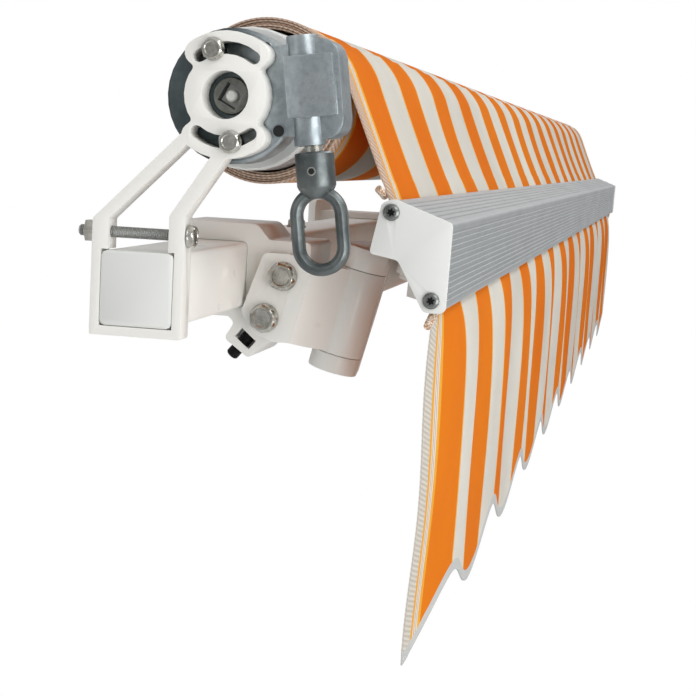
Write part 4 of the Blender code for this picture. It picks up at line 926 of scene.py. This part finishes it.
def fine_bolts():
    for end, side, start in ENDS:
        for label, angle in RING_BOLT_ANGLES:
            out = RING_BOLT_CIRCLE * Vector((0, math.cos(angle), math.sin(angle)))
            place = ROLLER + out + Vector((start - side * GAP, 0, 0))
            name = "ring_bolt_%s_%s" % (label, end)
            flange_bolt(name, "frame", place, (side, 0, 0), 0.003, 0.026, 0.0054, 0.0046, angle)
        for label, (d, n) in KNUCKLE_BOLTS:
            place = shoulder_point(side, start, KNUCKLE_FACE - SHOULDER.x - GAP, d, n)
            name = "knuckle_bolt_%s_%s" % (label, end)
            flange_bolt(name, "frame", place, (side, 0, 0), 0.005, 0.034, 0.0080, 0.0070, d * 60)
        place = Vector((start + side * CLAMP_BOLT[0], *CLAMP_BOLT[1:]))
        flange_bolt("clamp_bolt_" + end, "frame", place, (0, 1, 0), 0.003, CLAMP_LENGTH, 0.0055, 0.0042, 0.2)
        for label, spot in CAP_SCREWS:
            star_screw("cap_screw_%s_%s" % (label, end), side, start, spot)


def camera():
    """Camera of the photo, from its vanishing point, roll and place.

    The vectors are the world's axes as right, down and forward in the photo.
    """
    middle = PHOTO_PIXELS / 2
    ahead = Vector(((VANISH[0] - middle) / FOCAL_PIXELS, (VANISH[1] - middle) / FOCAL_PIXELS, 1)).normalized()
    across = Vector((math.cos(CAMERA_ROLL), math.sin(CAMERA_ROLL), 0))
    across = (across - ahead * across.dot(ahead)).normalized()
    down = ahead.cross(across)
    from_photo = Matrix((ahead, -across, -down))
    to_photo = Matrix.Diagonal((1, -1, -1))
    data = bpy.data.cameras.new("camera")
    made = bpy.data.objects.new("camera", data)
    bpy.context.scene.collection.objects.link(made)
    made.matrix_world = Matrix.Translation(CAMERA_PLACE) @ (from_photo @ to_photo).to_4x4()
    data.sensor_width = 36
    data.lens = FOCAL_PIXELS * data.sensor_width / PHOTO_PIXELS
    data.clip_start, data.clip_end = 0.05, 50
    bpy.context.scene.camera = made


def softbox(name, place, target, size, power, color=(1, 1, 1)):
    data = bpy.data.lights.new(name, "AREA")
    data.shape = "RECTANGLE"
    data.size, data.size_y = size
    data.energy = power
    data.color = color
    made = bpy.data.objects.new(name, data)
    bpy.context.scene.collection.objects.link(made)
    made.location = place
    made.rotation_euler = (Vector(target) - Vector(place)).to_track_quat("-Z", "Y").to_euler()


def studio():
    softbox("key_light", (-1.3, -1.5, 1.5), (0.2, -0.08, 0.0), (1.6, 1.2), 15)
    softbox("left_light", (-1.3, 1.1, 0.3), (0.1, -0.02, 0.05), (0.8, 1.2), 1.5)
    softbox("fill_light", (-0.9, -1.5, -0.25), (0.35, -0.09, -0.02), (1.6, 1.0), 17)
    softbox("canopy_light", (1.2, -1.6, 1.9), (1.1, -0.1, 0.05), (2.8, 0.8), 24)
    world = bpy.data.worlds.new("studio")
    bpy.context.scene.world = world
    world.use_nodes = True
    nodes, links = world.node_tree.nodes, world.node_tree.links
    soft = nodes["Background"]
    seen = nodes.new("ShaderNodeBackground")
    seen.inputs["Color"].default_value = (1, 1, 1, 1)
    seen.inputs["Strength"].default_value = 1.0
    ray = nodes.new("ShaderNodeLightPath")
    pick = nodes.new("ShaderNodeMixShader")
    place = nodes.new("ShaderNodeTexCoord")
    split = nodes.new("ShaderNodeSeparateXYZ")
    ramp = nodes.new("ShaderNodeValToRGB")
    shift = nodes.new("ShaderNodeMapRange")
    links.new(place.outputs["Generated"], split.inputs[0])
    links.new(split.outputs[2], shift.inputs["Value"])
    shift.inputs["From Min"].default_value = -1
    stops = ((0.0, 0.16), (0.42, 0.30), (0.52, 0.62), (0.70, 0.95), (1.0, 1.0))
    while len(ramp.color_ramp.elements) < len(stops):
        ramp.color_ramp.elements.new(0.5)
    for element, (position, level) in zip(ramp.color_ramp.elements, stops):
        element.position = position
        element.color = (level, level, level, 1)
    links.new(shift.outputs[0], ramp.inputs[0])
    links.new(ramp.outputs[0], soft.inputs["Color"])
    soft.inputs["Strength"].default_value = 0.66
    links.new(ray.outputs["Is Camera Ray"], pick.inputs[0])
    links.new(soft.outputs[0], pick.inputs[1])
    links.new(seen.outputs[0], pick.inputs[2])
    links.new(pick.outputs[0], nodes["World Output"].inputs["Surface"])


def floor():
    """Pale floor far below the awning, white to the camera like the world round it."""
    mesh = bpy.data.meshes.new("floor")
    reach, low = 12.0, -1.3
    corners = [(-reach, -reach, low), (reach, -reach, low), (reach, reach, low), (-reach, reach, low)]
    mesh.from_pydata(corners, [], [(0, 1, 2, 3)])
    made = bpy.data.objects.new("floor", mesh)
    bpy.context.scene.collection.objects.link(made)
    finish = Finish("floor", (0.75, 0.75, 0.75, 1), 0.9)
    glow = finish.nodes.new("ShaderNodeEmission")
    ray = finish.nodes.new("ShaderNodeLightPath")
    pick = finish.nodes.new("ShaderNodeMixShader")
    finish.links.new(ray.outputs["Is Camera Ray"], pick.inputs[0])
    finish.links.new(finish.shader.outputs[0], pick.inputs[1])
    finish.links.new(glow.outputs[0], pick.inputs[2])
    finish.links.new(pick.outputs[0], finish.nodes["Material Output"].inputs["Surface"])
    mesh.materials.append(finish.mat)


dress_solids()
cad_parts["drive_hub"].data.materials[0] = hub_zinc
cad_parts["gearbox_housing"].data.materials[0] = gear_zinc
for end_name in ("near", "far"):
    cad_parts["pitch_screw_" + end_name].data.materials[0] = black_thread
fine_bolts()
crank_parts()
gearbox_details()
canopy_roll()
canopy_flap()
valance()
for end_name, way, origin in ENDS:
    low_end = origin + way * 0.0915
    stub = (low_end - way * 0.012, -0.1450, -0.0165)
    rolled_end("valance_roll_" + end_name, (low_end, -0.1462, -0.0108), stub, 0.0023, 6)
    stub = (low_end - way * 0.006, -0.1118, 0.0585)
    rolled_end("canopy_fold_" + end_name, (low_end, -0.1150, 0.0542), stub, 0.0022, 4)
camera()
studio()
floor()
bpy.context.scene.view_settings.view_transform = "Standard"
